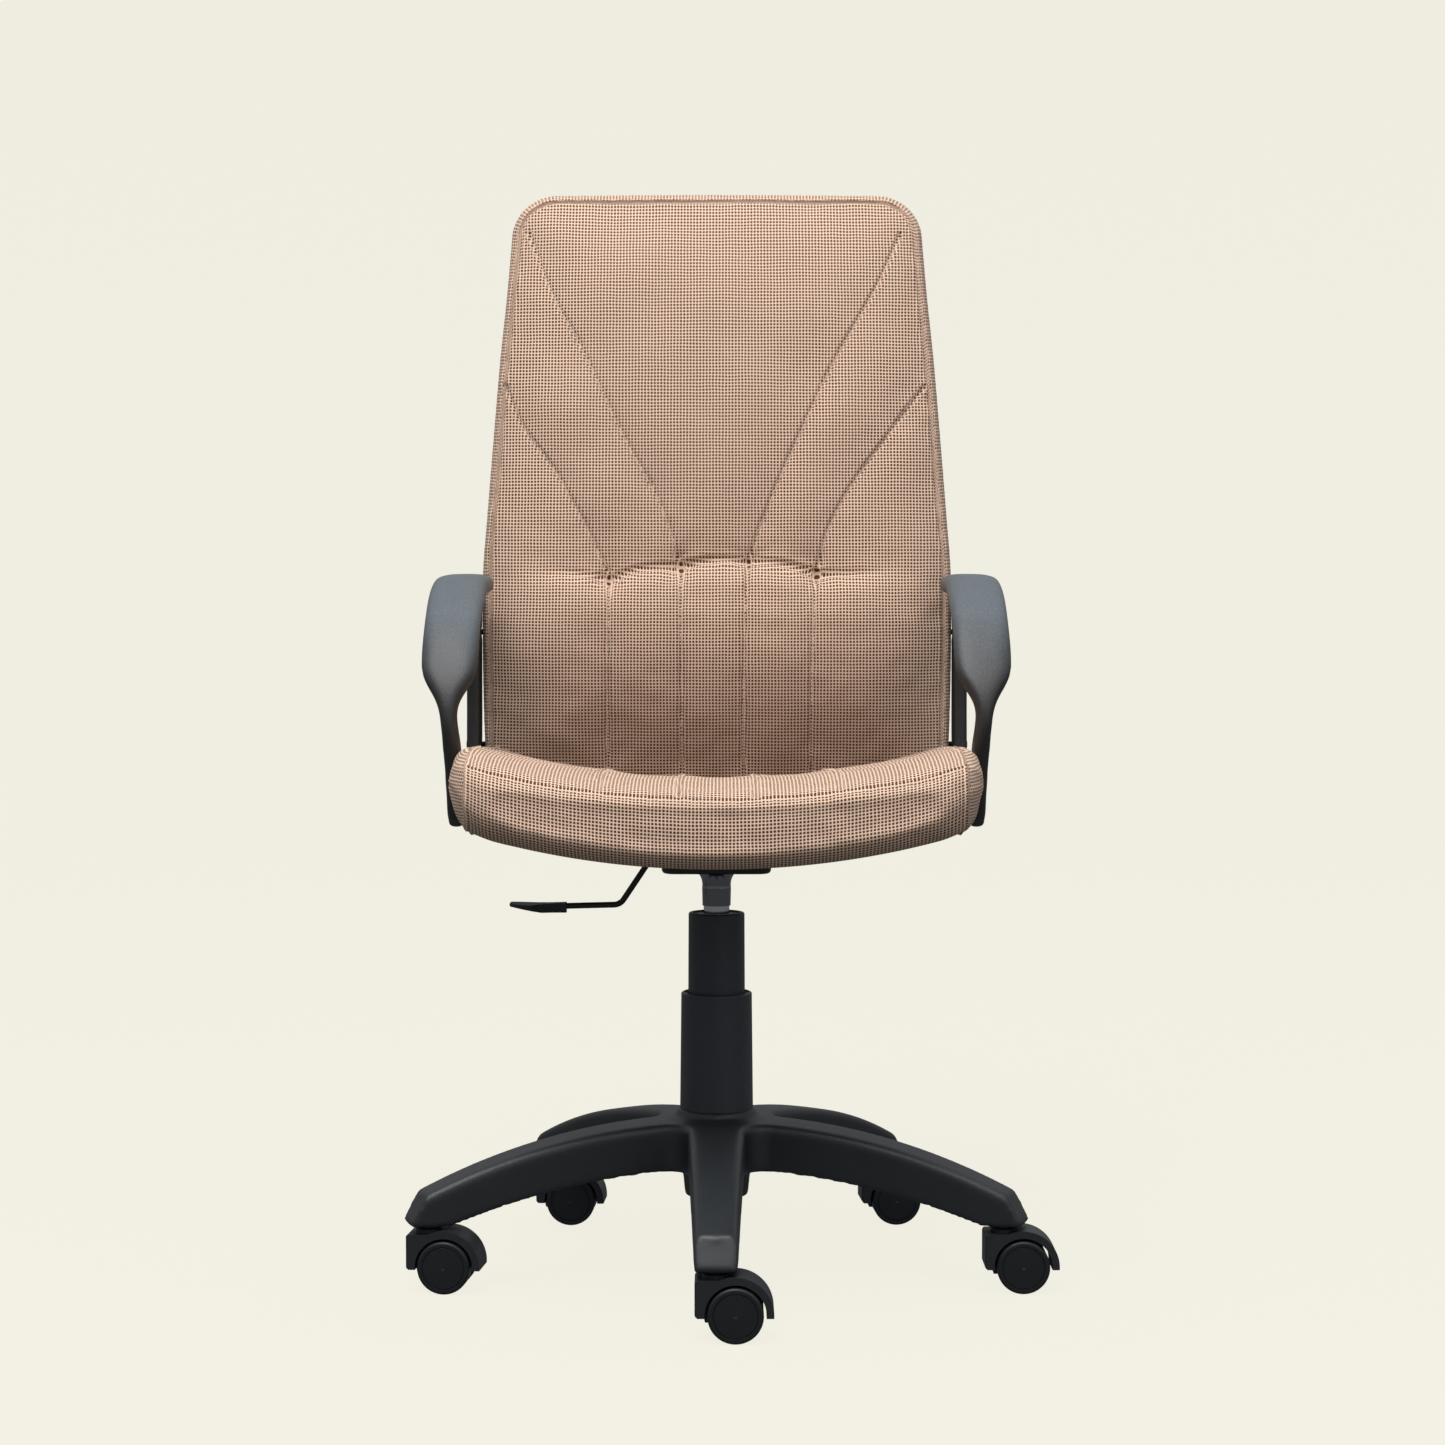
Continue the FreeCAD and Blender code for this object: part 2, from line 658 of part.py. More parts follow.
def ring_section(y, z, x, width, thick, slope):
    """A rounded section across the armrest's path, which points slope degrees downward."""
    a = math.radians(slope)
    across, normal = V(1, 0, 0), V(0, -math.sin(a), math.cos(a))
    points = []
    count, power = 16, 0.62
    for i in range(count):
        t = 2 * math.pi * i / count
        u = math.copysign(abs(math.cos(t)) ** power, math.cos(t)) * width / 2
        v = math.copysign(abs(math.sin(t)) ** power, math.sin(t)) * thick / 2
        points.append(V(x, y, z) + across * u + normal * v)
    curve = Part.BSplineCurve()
    curve.interpolate(Points=points, PeriodicFlag=True)
    return Part.Wire([curve.toShape()])


def armrest():
    """A closed loop: pad and front post in one loft, a foot along the seat and a post up the back."""
    path = [
        # y, z, x, width, thickness, slope
        (237, 689, 265, 26, 17, 0),
        (205, 690.5, 265, 48, 21, 0),
        (165, 691.5, 263.5, 57, 22, 0),
        (110, 691, 263, 57, 22, 4),
        (50, 683, 263, 56.5, 22, 14),
        (0, 664, 263, 56, 22, 28),
        (-36, 639, 263, 56, 22, 43),
        (-58, 613, 263, 55, 22, 57),
        (-68, 597, 263.3, 45, 23.5, 66),
        (-74, 583, 263.5, 28, 26, 76),
        (-77, 568, 263, 17.5, 29, 86),
        (-73, 545, 261, 16.5, 31, 98),
        (-60, 515, 259.5, 16.5, 33, 111),
        (-42, 482, 259, 17, 34, 115),
        (-33, 465, 259, 16.6, 32, 115),
    ]
    loop = Part.makeLoft([ring_section(*p) for p in path], True, False)
    x = (ARM_X - POST_W / 2 + 0.5, ARM_X + POST_W / 2 + 0.5)
    frame = slab(
        on_yz, x[0], x[1], (-46, 468), ((-41, 455), (-27, 452)), (205, 452), ((222, 460),
            (227, 482)), (233, 560),
        (236, 690), (200, 690), (196, 560), (192, 498), ((187, 486), (175, 482)), (-20, 482),
    )
    frame = rounded(frame, 4.0, lambda e: e.BoundBox.XLength < 0.1 and e.BoundBox.ZMax < 689.9)
    arm = loop.fuse(frame).cut(block((200, 250.9), (168.0, 300), (600, 800)))
    for bolt in arm_bolt_places():
        arm = arm.cut(cross_rod(BOLT_R + 0.3, 200, 300, *bolt)).cut(cross_rod(7.0, x[1] - 3, 300,
            *bolt))
    return max(arm.removeSplitter().Solids, key=lambda s: s.Volume)


SEAT_BOLTS = [(10.0, 467.0), (150.0, 467.0)]
BACK_BOLTS = [(218.0, 520.0), (227.0, 640.0)]


def arm_bolt_places():
    return SEAT_BOLTS + BACK_BOLTS


def arm_bolt(y, z, side):
    """A flanged button-head bolt, from the armrest's outer face into the plywood's edge."""
    face = ARM_X + POST_W / 2 + 0.5 - 3
    head = cross_rod(6.8, face, face + 2, y, z).fuse(
        Part.makeCone(5.2, 3.4, 2.6, V(face + 2, y, z),
            V(1, 0, 0)).cut(cross_rod(2.0, face + 2.8, face + 10, y, z))
    )
    bolt = head.fuse(cross_rod(BOLT_R, 208, face + 1, y, z))
    return bolt if side > 0 else bolt.mirror(V(0, 0, 0), V(1, 0, 0))


def bolt_room(places):
    rods = [cross_rod(BOLT_R, -300, -208, y, z) for y, z in places]
    rods += [cross_rod(BOLT_R, 208, 300, y, z) for y, z in places]
    return Part.makeCompound(rods)


def seat_bolt_room():
    return bolt_room(SEAT_BOLTS)


def back_bolt_room():
    return bolt_room(BACK_BOLTS)


def main():
    os.makedirs("parts", exist_ok=True)
    save("star_base", star_base())
    save("caster_stems", *[at_caster(caster_stem(), n) for n in CASTERS])
    save("stem_grip_rings", *[at_caster(grip_ring(), n) for n in CASTERS])
    for name in CASTERS:
        save("caster_hood_" + name, at_caster(caster_hood(), name))
        save("caster_axle_" + name, at_caster(caster_axle(), name))
        save("caster_wheel_near_" + name, at_caster(caster_wheel(-1), name))
        save("caster_wheel_far_" + name, at_caster(caster_wheel(1), name))

    save("stand_tube", stand_tube())
    save("guide_bush", guide_bush())
    save("gas_cylinder", gas_cylinder())
    save("valve_body", valve_body())
    save("rod_seal_pack", rod_seal_pack())
    save("release_pin", release_pin())
    save("piston_rod", piston_rod())
    save("piston", piston())
    save("piston_seal", piston_seal())
    save("lower_bearing_washer", bearing_washer(67.0))
    save("upper_bearing_washer", bearing_washer(72.0))
    save("thrust_balls", *thrust_balls())
    save("rubber_bumper", tube(10.0, ROD_R, 78.0, 96.0))
    save("retaining_clip", retaining_clip())
    save("sleeve_lower", sleeve_lower())
    save("sleeve_middle", sleeve_middle())
    save("sleeve_upper", sleeve_upper())

    save("swivel_plate", swivel_plate())
    save("taper_socket", taper_socket())
    save("plate_screws", *[plate_screw(x, y) for x, y in plate_screw_places()])
    save("tee_nuts", *[tee_nut(x, y) for x, y in plate_screw_places()])
    save("lever_bush", lever_bush())
    save("lever_pin", lever_pin())
    save("lever_rod", lever_rod())
    save("lever_grip", lever_grip())

    shell = seat_shell().cut(seat_bolt_room())
    save("seat_shell", shell)
    save("seat_cushion", seat_cushion(shell))
    save("seat_dust_cover", seat_dust_cover())
    save("back_shell", back_shell())
    save("back_cushion", back_cushion())
    save("back_rear_cover", back_rear_cover())
    left = armrest()
    save("armrest_left", left)
    save("armrest_right", left.mirror(V(0, 0, 0), V(1, 0, 0)))
    save("arm_seat_bolts", *[arm_bolt(y, z, side) for y, z in SEAT_BOLTS for side in (-1, 1)])
    save("arm_back_bolts", *[arm_bolt(y, z, side) for y, z in BACK_BOLTS for side in (-1, 1)])


main()
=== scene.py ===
"""Blender scene for a high-back office swivel chair: fabric cushions, materials, light and camera.

Metres, in the CAD model's own frame: +Z up, the sitter faces -Y, the origin on the floor under the column.
"""
import bpy
import json
import math
import numpy as np
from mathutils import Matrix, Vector
from mathutils.bvhtree import BVHTree
from mathutils.kdtree import KDTree


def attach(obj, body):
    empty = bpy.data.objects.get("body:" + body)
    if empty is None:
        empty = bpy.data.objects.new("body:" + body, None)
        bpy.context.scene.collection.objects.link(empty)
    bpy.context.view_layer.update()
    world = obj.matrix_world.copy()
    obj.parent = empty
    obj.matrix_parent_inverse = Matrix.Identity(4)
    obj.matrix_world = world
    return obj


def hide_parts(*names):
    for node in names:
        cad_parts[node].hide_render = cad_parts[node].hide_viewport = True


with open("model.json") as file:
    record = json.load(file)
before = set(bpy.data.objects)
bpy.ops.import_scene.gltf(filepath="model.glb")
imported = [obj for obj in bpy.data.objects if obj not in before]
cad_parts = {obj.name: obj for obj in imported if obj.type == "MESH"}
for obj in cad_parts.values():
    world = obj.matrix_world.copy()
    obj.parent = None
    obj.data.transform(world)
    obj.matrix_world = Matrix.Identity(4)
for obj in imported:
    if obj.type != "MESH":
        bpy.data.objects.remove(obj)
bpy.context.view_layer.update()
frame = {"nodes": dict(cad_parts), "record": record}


# Camera

LENS_MM, SENSOR_MM = 81.3924, 36.0
CAMERA_AT = (0.006, -3.277, 0.719)
CAMERA_DOWN = 2.88        # degrees below level


def add_camera():
    cam = bpy.data.cameras.new("camera")
    cam.sensor_width = SENSOR_MM
    cam.lens = LENS_MM
    cam.dof.use_dof = False
    ob = bpy.data.objects.new("camera", cam)
    ob.location = CAMERA_AT
    ob.rotation_euler = (math.radians(90.0 - CAMERA_DOWN), 0, 0)
    bpy.context.collection.objects.link(ob)
    bpy.context.scene.camera = ob


# Node helpers

class Nodes:
    """Short hand for building one material's node tree."""

    def __init__(self, name):
        self.mat = bpy.data.materials.new(name)
        self.mat.use_nodes = True
        self.tree = self.mat.node_tree
        self.bsdf = next(n for n in self.tree.nodes if n.type == "BSDF_PRINCIPLED")

    def add(self, kind, **inputs):
        node = self.tree.nodes.new(kind)
        for key, value in inputs.items():
            self.put(node, key, value)
        return node

    def put(self, node, key, value):
        numbered = key[0] == "i" and key[1:].isdigit()
        socket = node.inputs[int(key[1:])] if numbered else node.inputs[key.replace("_", " ")]
        if isinstance(value, bpy.types.NodeSocket):
            self.tree.links.new(value, socket)
        else:
            socket.default_value = value

    def math(self, op, a, b=None, c=None):
        node = self.tree.nodes.new("ShaderNodeMath")
        node.operation = op
        for i, v in enumerate((a, b, c)):
            if v is not None:
                self.put(node, f"i{i}", v)
        return node.outputs[0]

    def mix(self, fac, a, b):
        node = self.tree.nodes.new("ShaderNodeMix")
        node.data_type = "RGBA"
        self.put(node, "i0", fac)
        for i, v in ((6, a), (7, b)):
            self.put(node, f"i{i}", (*v, 1.0) if isinstance(v, tuple) and len(v) == 3 else v)
        return node.outputs[2]

    def ramp(self, fac, *stops):
        node = self.tree.nodes.new("ShaderNodeValToRGB")
        self.put(node, "i0", fac)
        ramp = node.color_ramp
        for i, (pos, value) in enumerate(stops):
            e = ramp.elements[i] if i < 2 else ramp.elements.new(pos)
            e.position = pos
            e.color = (value, value, value, 1) if isinstance(value, (int, float)) else (*value, 1)
        return node.outputs[0]

    def noise(self, vector, scale, detail=3.0, rough=0.5):
        node = self.add("ShaderNodeTexNoise", Scale=scale, Detail=detail, Roughness=rough)
        self.put(node, "Vector", vector)
        return node.outputs[0]

    def bump(self, height, distance, strength):
        return self.add("ShaderNodeBump", Strength=strength, Distance=distance, Height=height).outputs[0]

    def stretched(self, vector, scale):
        node = self.add("ShaderNodeMapping")
        self.put(node, "Vector", vector)
        self.put(node, "Scale", scale)
        return node.outputs[0]

    def obj(self):
        return self.tree.nodes.new("ShaderNodeTexCoord").outputs["Object"]

    def set(self, **inputs):
        for key, value in inputs.items():
            if isinstance(value, tuple) and len(value) == 3:
                value = (*value, 1.0)
            self.put(self.bsdf, key, value)


# Materials

PITCH = 0.00345           # of the hopsack weave


def fabric(name, light, dark):
    """Tan hopsack: dark flecks between raised pale yarns, over the piece's own weave coordinates."""
    m = Nodes(name)
    attr = m.add("ShaderNodeAttribute")
    attr.attribute_name = "weave"
    uv = attr.outputs["Vector"]
    wobble = m.add("ShaderNodeTexNoise", Scale=55.0, Detail=2.0)
    m.put(wobble, "Vector", uv)
    shift = m.add("ShaderNodeVectorMath")
    shift.operation = "MULTIPLY_ADD"
    m.put(shift, "i0", wobble.outputs["Color"])
    m.put(shift, "i1", (0.0011, 0.0011, 0))
    m.put(shift, "i2", uv)
    sep = m.add("ShaderNodeSeparateXYZ")
    m.put(sep, "i0", shift.outputs[0])
    u = m.math("MULTIPLY", sep.outputs[0], 2 * math.pi / PITCH)
    v = m.math("MULTIPLY", sep.outputs[1], 2 * math.pi / PITCH)
    cu, cv = m.math("COSINE", u), m.math("COSINE", v)
    wu = m.math("MULTIPLY_ADD", cu, 0.5, 0.5)
    wv = m.math("MULTIPLY_ADD", cv, 0.5, 0.5)
    fleck = m.math("MULTIPLY", m.math("POWER", wu, 0.75), m.math("POWER", wv, 0.75))
    yarn = m.math("SUBTRACT", 1.0, fleck)
    fibre = m.noise(uv, 2600.0, 3.0, 0.7)
    slub = m.noise(uv, 420.0, 2.0, 0.6)
    patch = m.noise(uv, 9.0, 3.0, 0.6)
    edge = m.math("MULTIPLY_ADD", slub, 0.30, m.math("MULTIPLY_ADD", fibre, 0.16, -0.23))
    mask = m.ramp(m.math("ADD", fleck, edge), (0.20, 0.0), (0.40, 1.0))
    pale = m.mix(m.math("MULTIPLY", fibre, 0.75), light, tuple(c * 0.70 for c in light))
    pale = m.mix(m.math("MULTIPLY", slub, 0.35), pale, tuple(min(1.0, c * 1.22) for c in light))
    deep = m.mix(slub, dark, tuple(c * 1.8 for c in dark))
    colour = m.mix(mask, pale, deep)
    colour = m.mix(m.math("MULTIPLY", patch, 0.16), colour, tuple(c * 0.62 for c in light))
    # Painted shade: the cloth low on the lumbar pad, down behind the seat, gets a deeper tone that stands in
    # for the shade there.
    where = m.add("ShaderNodeSeparateXYZ")
    m.put(where, "i0", m.obj())
    low = m.ramp(where.outputs[2], (0.52, 0.44), (0.58, 0.37), (0.63, 0.14), (0.69, 0.0))
    inside = m.ramp(where.outputs[1], (0.03, 0.0), (0.08, 1.0), (0.17, 1.0), (0.20, 0.0))
    colour = m.mix(m.math("MULTIPLY", low, inside), colour, (0.055, 0.026, 0.016))
    m.set(Base_Color=colour, Roughness=0.92, Specular_IOR_Level=0.22)
    m.set(Sheen_Weight=0.06, Sheen_Roughness=0.5, Sheen_Tint=(1.0, 0.90, 0.82))
    height = m.math("MULTIPLY_ADD", fibre, 0.22, m.math("ADD", yarn, m.math("MULTIPLY", slub, 0.35)))
    m.set(Normal=m.bump(height, 0.00036, 0.60))
    return m.mat


def plastic(name, colour, rough, grain=0.00006, spec=0.5, vary=0.10):
    """Moulded plastic with a fine sparked grain, uneven gloss, and a little dust in its hollows."""
    m = Nodes(name)
    at = m.obj()
    spark = m.noise(at, 1500.0, 2.0, 0.55)
    broad = m.noise(at, 14.0, 4.0, 0.6)
    wear = m.noise(at, 95.0, 4.0, 0.65)
    worn = tuple(min(1.0, c * 1.45 + 0.003) for c in colour)
    dusty = tuple(min(1.0, c * 2.2 + 0.012) for c in colour)
    base = m.mix(m.math("MULTIPLY", broad, 0.5), colour, worn)
    base = m.mix(m.ramp(wear, (0.62, 0.0), (0.80, 0.22)), base, dusty)
    m.set(Base_Color=base, Specular_IOR_Level=spec)
    m.set(Roughness=m.math("MULTIPLY_ADD", broad, vary, m.math("MULTIPLY_ADD", wear, 0.08, rough - 0.09)))
    m.set(Normal=m.bump(spark, grain, 0.9))
    return m.mat


def arm_plastic(name):
    """Integral-skin arms with a coarse leather-like grain. Their high parts are painted a lighter, speckled
    blue-grey, a painted sheen for the top light's glancing reflection, that fades into the darker posts
    below.
    """
    m = Nodes(name)
    at = m.obj()
    sep = m.add("ShaderNodeSeparateXYZ")
    m.put(sep, "i0", at)
    broad = m.noise(at, 12.0, 3.0, 0.6)
    speck = m.noise(at, 620.0, 3.0, 0.7)
    grain = m.add("ShaderNodeTexVoronoi", Scale=900.0)
    m.put(grain, "Vector", at)
    # Painted sheen: the higher the surface, the lighter and more speckled its blue-grey, in place of the top
    # light's glancing reflection on the pads.
    level = m.math("MULTIPLY_ADD", broad, 0.02, m.math("SUBTRACT", sep.outputs[2], 0.01))
    painted_sheen = m.ramp(level, (0.585, 0.0), (0.665, 1.0))
    tone = m.mix(painted_sheen, (0.018, 0.0175, 0.0180), (0.080, 0.104, 0.124))
    tone = m.mix(m.ramp(speck, (0.46, 0.0), (0.66, 0.55)), tone, (0.20, 0.225, 0.245))
    m.set(Base_Color=m.mix(m.math("MULTIPLY", painted_sheen, 0.75), (0.018, 0.0175, 0.0175), tone))
    gloss = m.math("MULTIPLY_ADD", broad, 0.10, m.math("MULTIPLY_ADD", speck, 0.10, 0.40))
    m.set(Specular_IOR_Level=0.5, Roughness=gloss)
    pebble = m.math("ADD", grain.outputs["Distance"], m.math("MULTIPLY", speck, 0.6))
    m.set(Normal=m.bump(pebble, 0.00016, 0.8))
    return m.mat


def metal(name, colour, rough, metallic=1.0, grain=0.00002):
    """Plated or painted metal with a slightly uneven gloss."""
    m = Nodes(name)
    at = m.obj()
    broad = m.noise(at, 30.0, 3.0, 0.6)
    fine = m.noise(at, 1100.0, 2.0, 0.5)
    base = m.mix(m.math("MULTIPLY", broad, 0.35), colour, tuple(c * 0.78 for c in colour))
    m.set(Base_Color=base, Metallic=metallic)
    m.set(Roughness=m.math("MULTIPLY_ADD", fine, 0.12, m.math("MULTIPLY_ADD", broad, 0.08, rough - 0.10)))
    m.set(Normal=m.bump(fine, grain, 0.6))
    return m.mat


def plywood(name):
    """Pale veneer with a long grain and fine pores."""
    m = Nodes(name)
    veneer = m.stretched(m.obj(), (5.0, 60.0, 5.0))
    grain = m.noise(veneer, 4.0, 6.0, 0.65)
    pore = m.noise(veneer, 60.0, 3.0, 0.7)
    tone = m.ramp(grain, (0.32, (0.50, 0.33, 0.18)), (0.68, (0.72, 0.54, 0.34)))
    m.set(Base_Color=m.mix(m.math("MULTIPLY", pore, 0.35), tone, (0.34, 0.21, 0.11)), Roughness=0.68)
    m.set(Normal=m.bump(pore, 0.00012, 0.7))
    return m.mat


def felt(name, colour):
    """Thin black non-woven cloth, dimpled where it is bonded."""
    m = Nodes(name)
    at = m.obj()
    fibre = m.noise(at, 900.0, 4.0, 0.75)
    dimple = m.add("ShaderNodeTexVoronoi", Scale=520.0)
    m.put(dimple, "Vector", at)
    m.set(Base_Color=m.mix(fibre, colour, tuple(c * 2.4 + 0.004 for c in colour)))
    m.set(Roughness=0.95, Sheen_Weight=0.15)
    m.set(Normal=m.bump(m.math("ADD", fibre, dimple.outputs["Distance"]), 0.00018, 0.8))
    return m.mat


def thread(name, colour):
    """Sewing thread, lighter than the cloth."""
    m = Nodes(name)
    twist = m.noise(m.obj(), 2400.0, 2.0, 0.6)
    m.set(Base_Color=m.mix(twist, colour, tuple(c * 0.6 for c in colour)), Roughness=0.7, Sheen_Weight=0.2)
    m.set(Normal=m.bump(twist, 0.0001, 0.6))
    return m.mat


LIGHT, DARK = (0.775, 0.550, 0.412), (0.030, 0.011, 0.005)
MATS = {
    "fabric": fabric("fabric", LIGHT, DARK),
    "black_plastic": plastic("black_plastic", (0.0092, 0.0118, 0.0145), 0.48, vary=0.12),
    "wheel_plastic": plastic("wheel_plastic", (0.0065, 0.0080, 0.0098), 0.44, vary=0.10, spec=0.4),
    "armrest_plastic": arm_plastic("armrest_plastic"),
    "steel": metal("steel", (0.52, 0.52, 0.53), 0.34),
    "chrome": metal("chrome", (0.80, 0.81, 0.83), 0.16, grain=0.000004),
    "sleeve": plastic("sleeve", (0.0230, 0.0290, 0.0380), 0.42, vary=0.10),
    "dark_chrome": metal("dark_chrome", (0.24, 0.25, 0.27), 0.17, grain=0.000004),
    "black_steel": metal("black_steel", (0.012, 0.013, 0.015), 0.42, metallic=0.0, grain=0.00003),
    "bush_plastic": plastic("bush_plastic", (0.68, 0.65, 0.58), 0.42, grain=0.00003),
    "rubber": plastic("rubber", (0.022, 0.022, 0.022), 0.80, grain=0.00008, spec=0.3),
    "plywood": plywood("plywood"),
    "black_cloth": felt("black_cloth", (0.012, 0.012, 0.013)),
    "thread": thread("thread", (0.74, 0.56, 0.44)),
}
MATS["back_fabric"] = MATS["fabric"]
OWN_FINISH = {
    "taper_socket": "dark_chrome",
    "sleeve_lower": "sleeve",
    "sleeve_middle": "sleeve",
    "sleeve_upper": "sleeve",
}


def paint_frame():
    """Gives each CAD piece its own finish, or else the material of its slot."""
    slots = {s["node"]: s["material_slot"] for s in frame["record"]["subparts"]}
    for name, ob in frame["nodes"].items():
        ob.data.materials.clear()
        ob.data.materials.append(MATS[OWN_FINISH.get(name, slots[name])])


# Plane geometry

def resample(points, count, closed=False):
    """count points, evenly spaced along a line of points."""
    p = np.asarray(points, float)
    if closed:
        p = np.vstack([p, p[:1]])
    step = np.linalg.norm(np.diff(p, axis=0), axis=1)
    s = np.concatenate([[0], np.cumsum(step)])
    t = np.linspace(0, s[-1], count + 1)[:-1] if closed else np.linspace(0, s[-1], count)
    return np.stack([np.interp(t, s, p[:, i]) for i in range(p.shape[1])], axis=1)


def smooth_line(points, per=12):
    """A Catmull-Rom curve through the points."""
    p = np.asarray(points, float)
    p = np.vstack([2 * p[0] - p[1], p, 2 * p[-1] - p[-2]])
    out = []
    for i in range(1, len(p) - 2):
        for t in np.linspace(0, 1, per, endpoint=False):
            a, b, c, d = p[i - 1], p[i], p[i + 1], p[i + 2]
            out.append(0.5 * (2 * b + (c - a) * t + (2 * a - 5 * b + 4 * c - d) * t ** 2
                              + (3 * b - a - 3 * c + d) * t ** 3))
    out.append(p[-2])
    return np.array(out)


def line_distance(q, line, reach=0.05):
    """Distance of each row of q from a line of points, and how far along it the nearest point is.
    Rows beyond reach of the line's own box get a large distance."""
    line = np.asarray(line, float)
    length = np.sum(np.linalg.norm(np.diff(line, axis=0), axis=1))
    fine = resample(line, max(3, int(length / 0.002)))
    step = length / (len(fine) - 1)
    tree = KDTree(len(fine))
    for i, (a, b) in enumerate(fine):
        tree.insert((a, b, 0.0), i)
    tree.balance()
    best, along = np.full(len(q), 1.0), np.zeros(len(q))
    close = np.all((q > fine.min(0) - reach) & (q < fine.max(0) + reach), axis=1)
    rows = np.nonzero(close)[0]
    if len(rows) == 0:
        return best, along
    index = np.array([tree.find((a, b, 0.0))[1] for a, b in q[rows].tolist()])
    for shift in (-1, 0):
        i = np.clip(index + shift, 0, len(fine) - 2)
        start, span = fine[i], fine[i + 1] - fine[i]
        square = np.maximum(np.sum(span * span, axis=1), 1e-12)
        t = np.clip(np.sum((q[rows] - start) * span, axis=1) / square, 0, 1)
        d = np.linalg.norm(q[rows] - start - t[:, None] * span, axis=1)
        near = d < best[rows]
        best[rows[near]] = d[near]
        along[rows[near]] = (i[near] + t[near]) * step
    return best, along


def rough_noise(p, scale, seed):
    """Smooth repeatable noise from a few sine waves, about -1 to 1."""
    rng = np.random.default_rng(seed)
    total = np.zeros(len(p))
    for _ in range(7):
        k = rng.normal(size=p.shape[1])
        k *= rng.uniform(0.6, 1.5) * 2 * math.pi / (scale * np.linalg.norm(k))
        total += np.sin(p @ k + rng.uniform(0, 6.28))
    return total / 3.2


def smoothstep(a, b, x):
    t = np.clip((x - a) / (b - a), 0, 1)
    return t * t * (3 - 2 * t)


# Mesh helpers

def make_mesh(name, verts, faces, weave=None, mat="fabric"):
    me = bpy.data.meshes.new(name)
    me.from_pydata([tuple(v) for v in verts], [], [tuple(int(i) for i in f) for f in faces])
    me.validate()
    if weave is not None:
        set_weave(me, weave)
    me.materials.append(MATS[mat])
    me.polygons.foreach_set("use_smooth", [True] * len(me.polygons))
    ob = bpy.data.objects.new(name, me)
    bpy.context.collection.objects.link(ob)
    return ob


def set_weave(me, weave):
    attr = me.attributes.get("weave") or me.attributes.new("weave", "FLOAT_VECTOR", "POINT")
    full = np.zeros((len(weave), 3))
    full[:, :weave.shape[1]] = weave
    attr.data.foreach_set("vector", full.ravel())


def get_verts(ob):
    co = np.empty(len(ob.data.vertices) * 3)
    ob.data.vertices.foreach_get("co", co)
    return co.reshape(-1, 3)


def get_weave(ob):
    w = np.empty(len(ob.data.vertices) * 3)
    ob.data.attributes["weave"].data.foreach_get("vector", w)
    return w.reshape(-1, 3)


def set_verts(ob, co):
    ob.data.vertices.foreach_set("co", np.asarray(co).ravel())
    ob.data.update()


def get_normals(ob):
    n = np.empty(len(ob.data.vertices) * 3)
    ob.data.vertices.foreach_get("normal", n)
    return n.reshape(-1, 3)


def apply_modifiers(ob):
    me = bpy.data.meshes.new_from_object(ob.evaluated_get(bpy.context.evaluated_depsgraph_get()))
    ob.modifiers.clear()
    old, ob.data = ob.data, me
    me.name = old.name
    bpy.data.meshes.remove(old)


def subdivide(ob):
    mod = ob.modifiers.new("subdivision", "SUBSURF")
    mod.levels = mod.render_levels = 1
    apply_modifiers(ob)


def inflate(ob, pin, pressure, cap, frames=20):
    """Swells a pad with Blender's cloth under pressure.
    pin is 1 where the fabric is held and 0 where it is free; cap is the most that it can swell."""
    start = get_verts(ob).copy()
    group = ob.vertex_groups.new(name="held")
    for level in np.unique(np.round(pin, 2)):
        if level > 0:
            group.add([int(i) for i in np.nonzero(np.round(pin, 2) == level)[0]], float(level), "REPLACE")
    mod = ob.modifiers.new("cloth", "CLOTH")
    c = mod.settings
    c.quality = 6
    c.mass = 0.25
    c.tension_stiffness = c.compression_stiffness = 18
    c.shear_stiffness = 8
    c.bending_stiffness = 0.4
    c.use_pressure = True
    c.uniform_pressure_force = pressure
    c.effector_weights.gravity = 0
    c.vertex_group_mass = "held"
    c.pin_stiffness = 1.0
    mod.collision_settings.use_collision = False
    mod.point_cache.frame_start, mod.point_cache.frame_end = 1, frames
    scene = bpy.context.scene
    for f in range(1, frames + 1):
        scene.frame_set(f)
    apply_modifiers(ob)
    scene.frame_set(1)
    moved = get_verts(ob) - start
    length = np.linalg.norm(moved, axis=1)
    limit = cap * np.tanh(length / cap) / np.maximum(length, 1e-9)
    set_verts(ob, start + moved * limit[:, None])
    ob.vertex_groups.clear()


def sew(ob, q, seams):
    """Presses seams into a pad along its normals. q is each vertex's place in the seams' own plane.
    A seam is (line, depth, width, pucker, where), with where a weight per vertex."""
    co, n = get_verts(ob), get_normals(ob)
    push = np.zeros(len(co))
    for k, (line, depth, width, pucker, where) in enumerate(seams):
        d, s = line_distance(q, line)
        groove = np.exp(-(d / width) ** 2) + 0.30 * np.exp(-(d / (3.2 * width)) ** 2)
        lips = 0.50 * np.exp(-((d - 1.9 * width) / (0.8 * width)) ** 2)
        fold = np.sin(2 * math.pi * s / 0.0105 + 1.7 * np.sin(2 * math.pi * s / 0.043 + k))
        fold *= np.exp(-d / 0.011) * (1 - np.exp(-(d / 0.0022) ** 2))
        push += where * (-depth * groove + depth * lips + pucker * fold)
    set_verts(ob, co + n * push[:, None])


STITCH_PITCH, STITCH_LENGTH, STITCH_RADIUS = 0.0042, 0.0031, 0.00055
STITCH_IN = 0.0036        # from a seam to the row of stitches beside it
# Rings along one stitch: place along it, thickness, and height above the cloth in radii.
STITCH_RINGS = (
    (-0.5, 0.25, -0.5), (-0.32, 0.9, 0.45), (0.0, 1.0, 0.75), (0.32, 0.9, 0.45), (0.5, 0.25, -0.5),
)


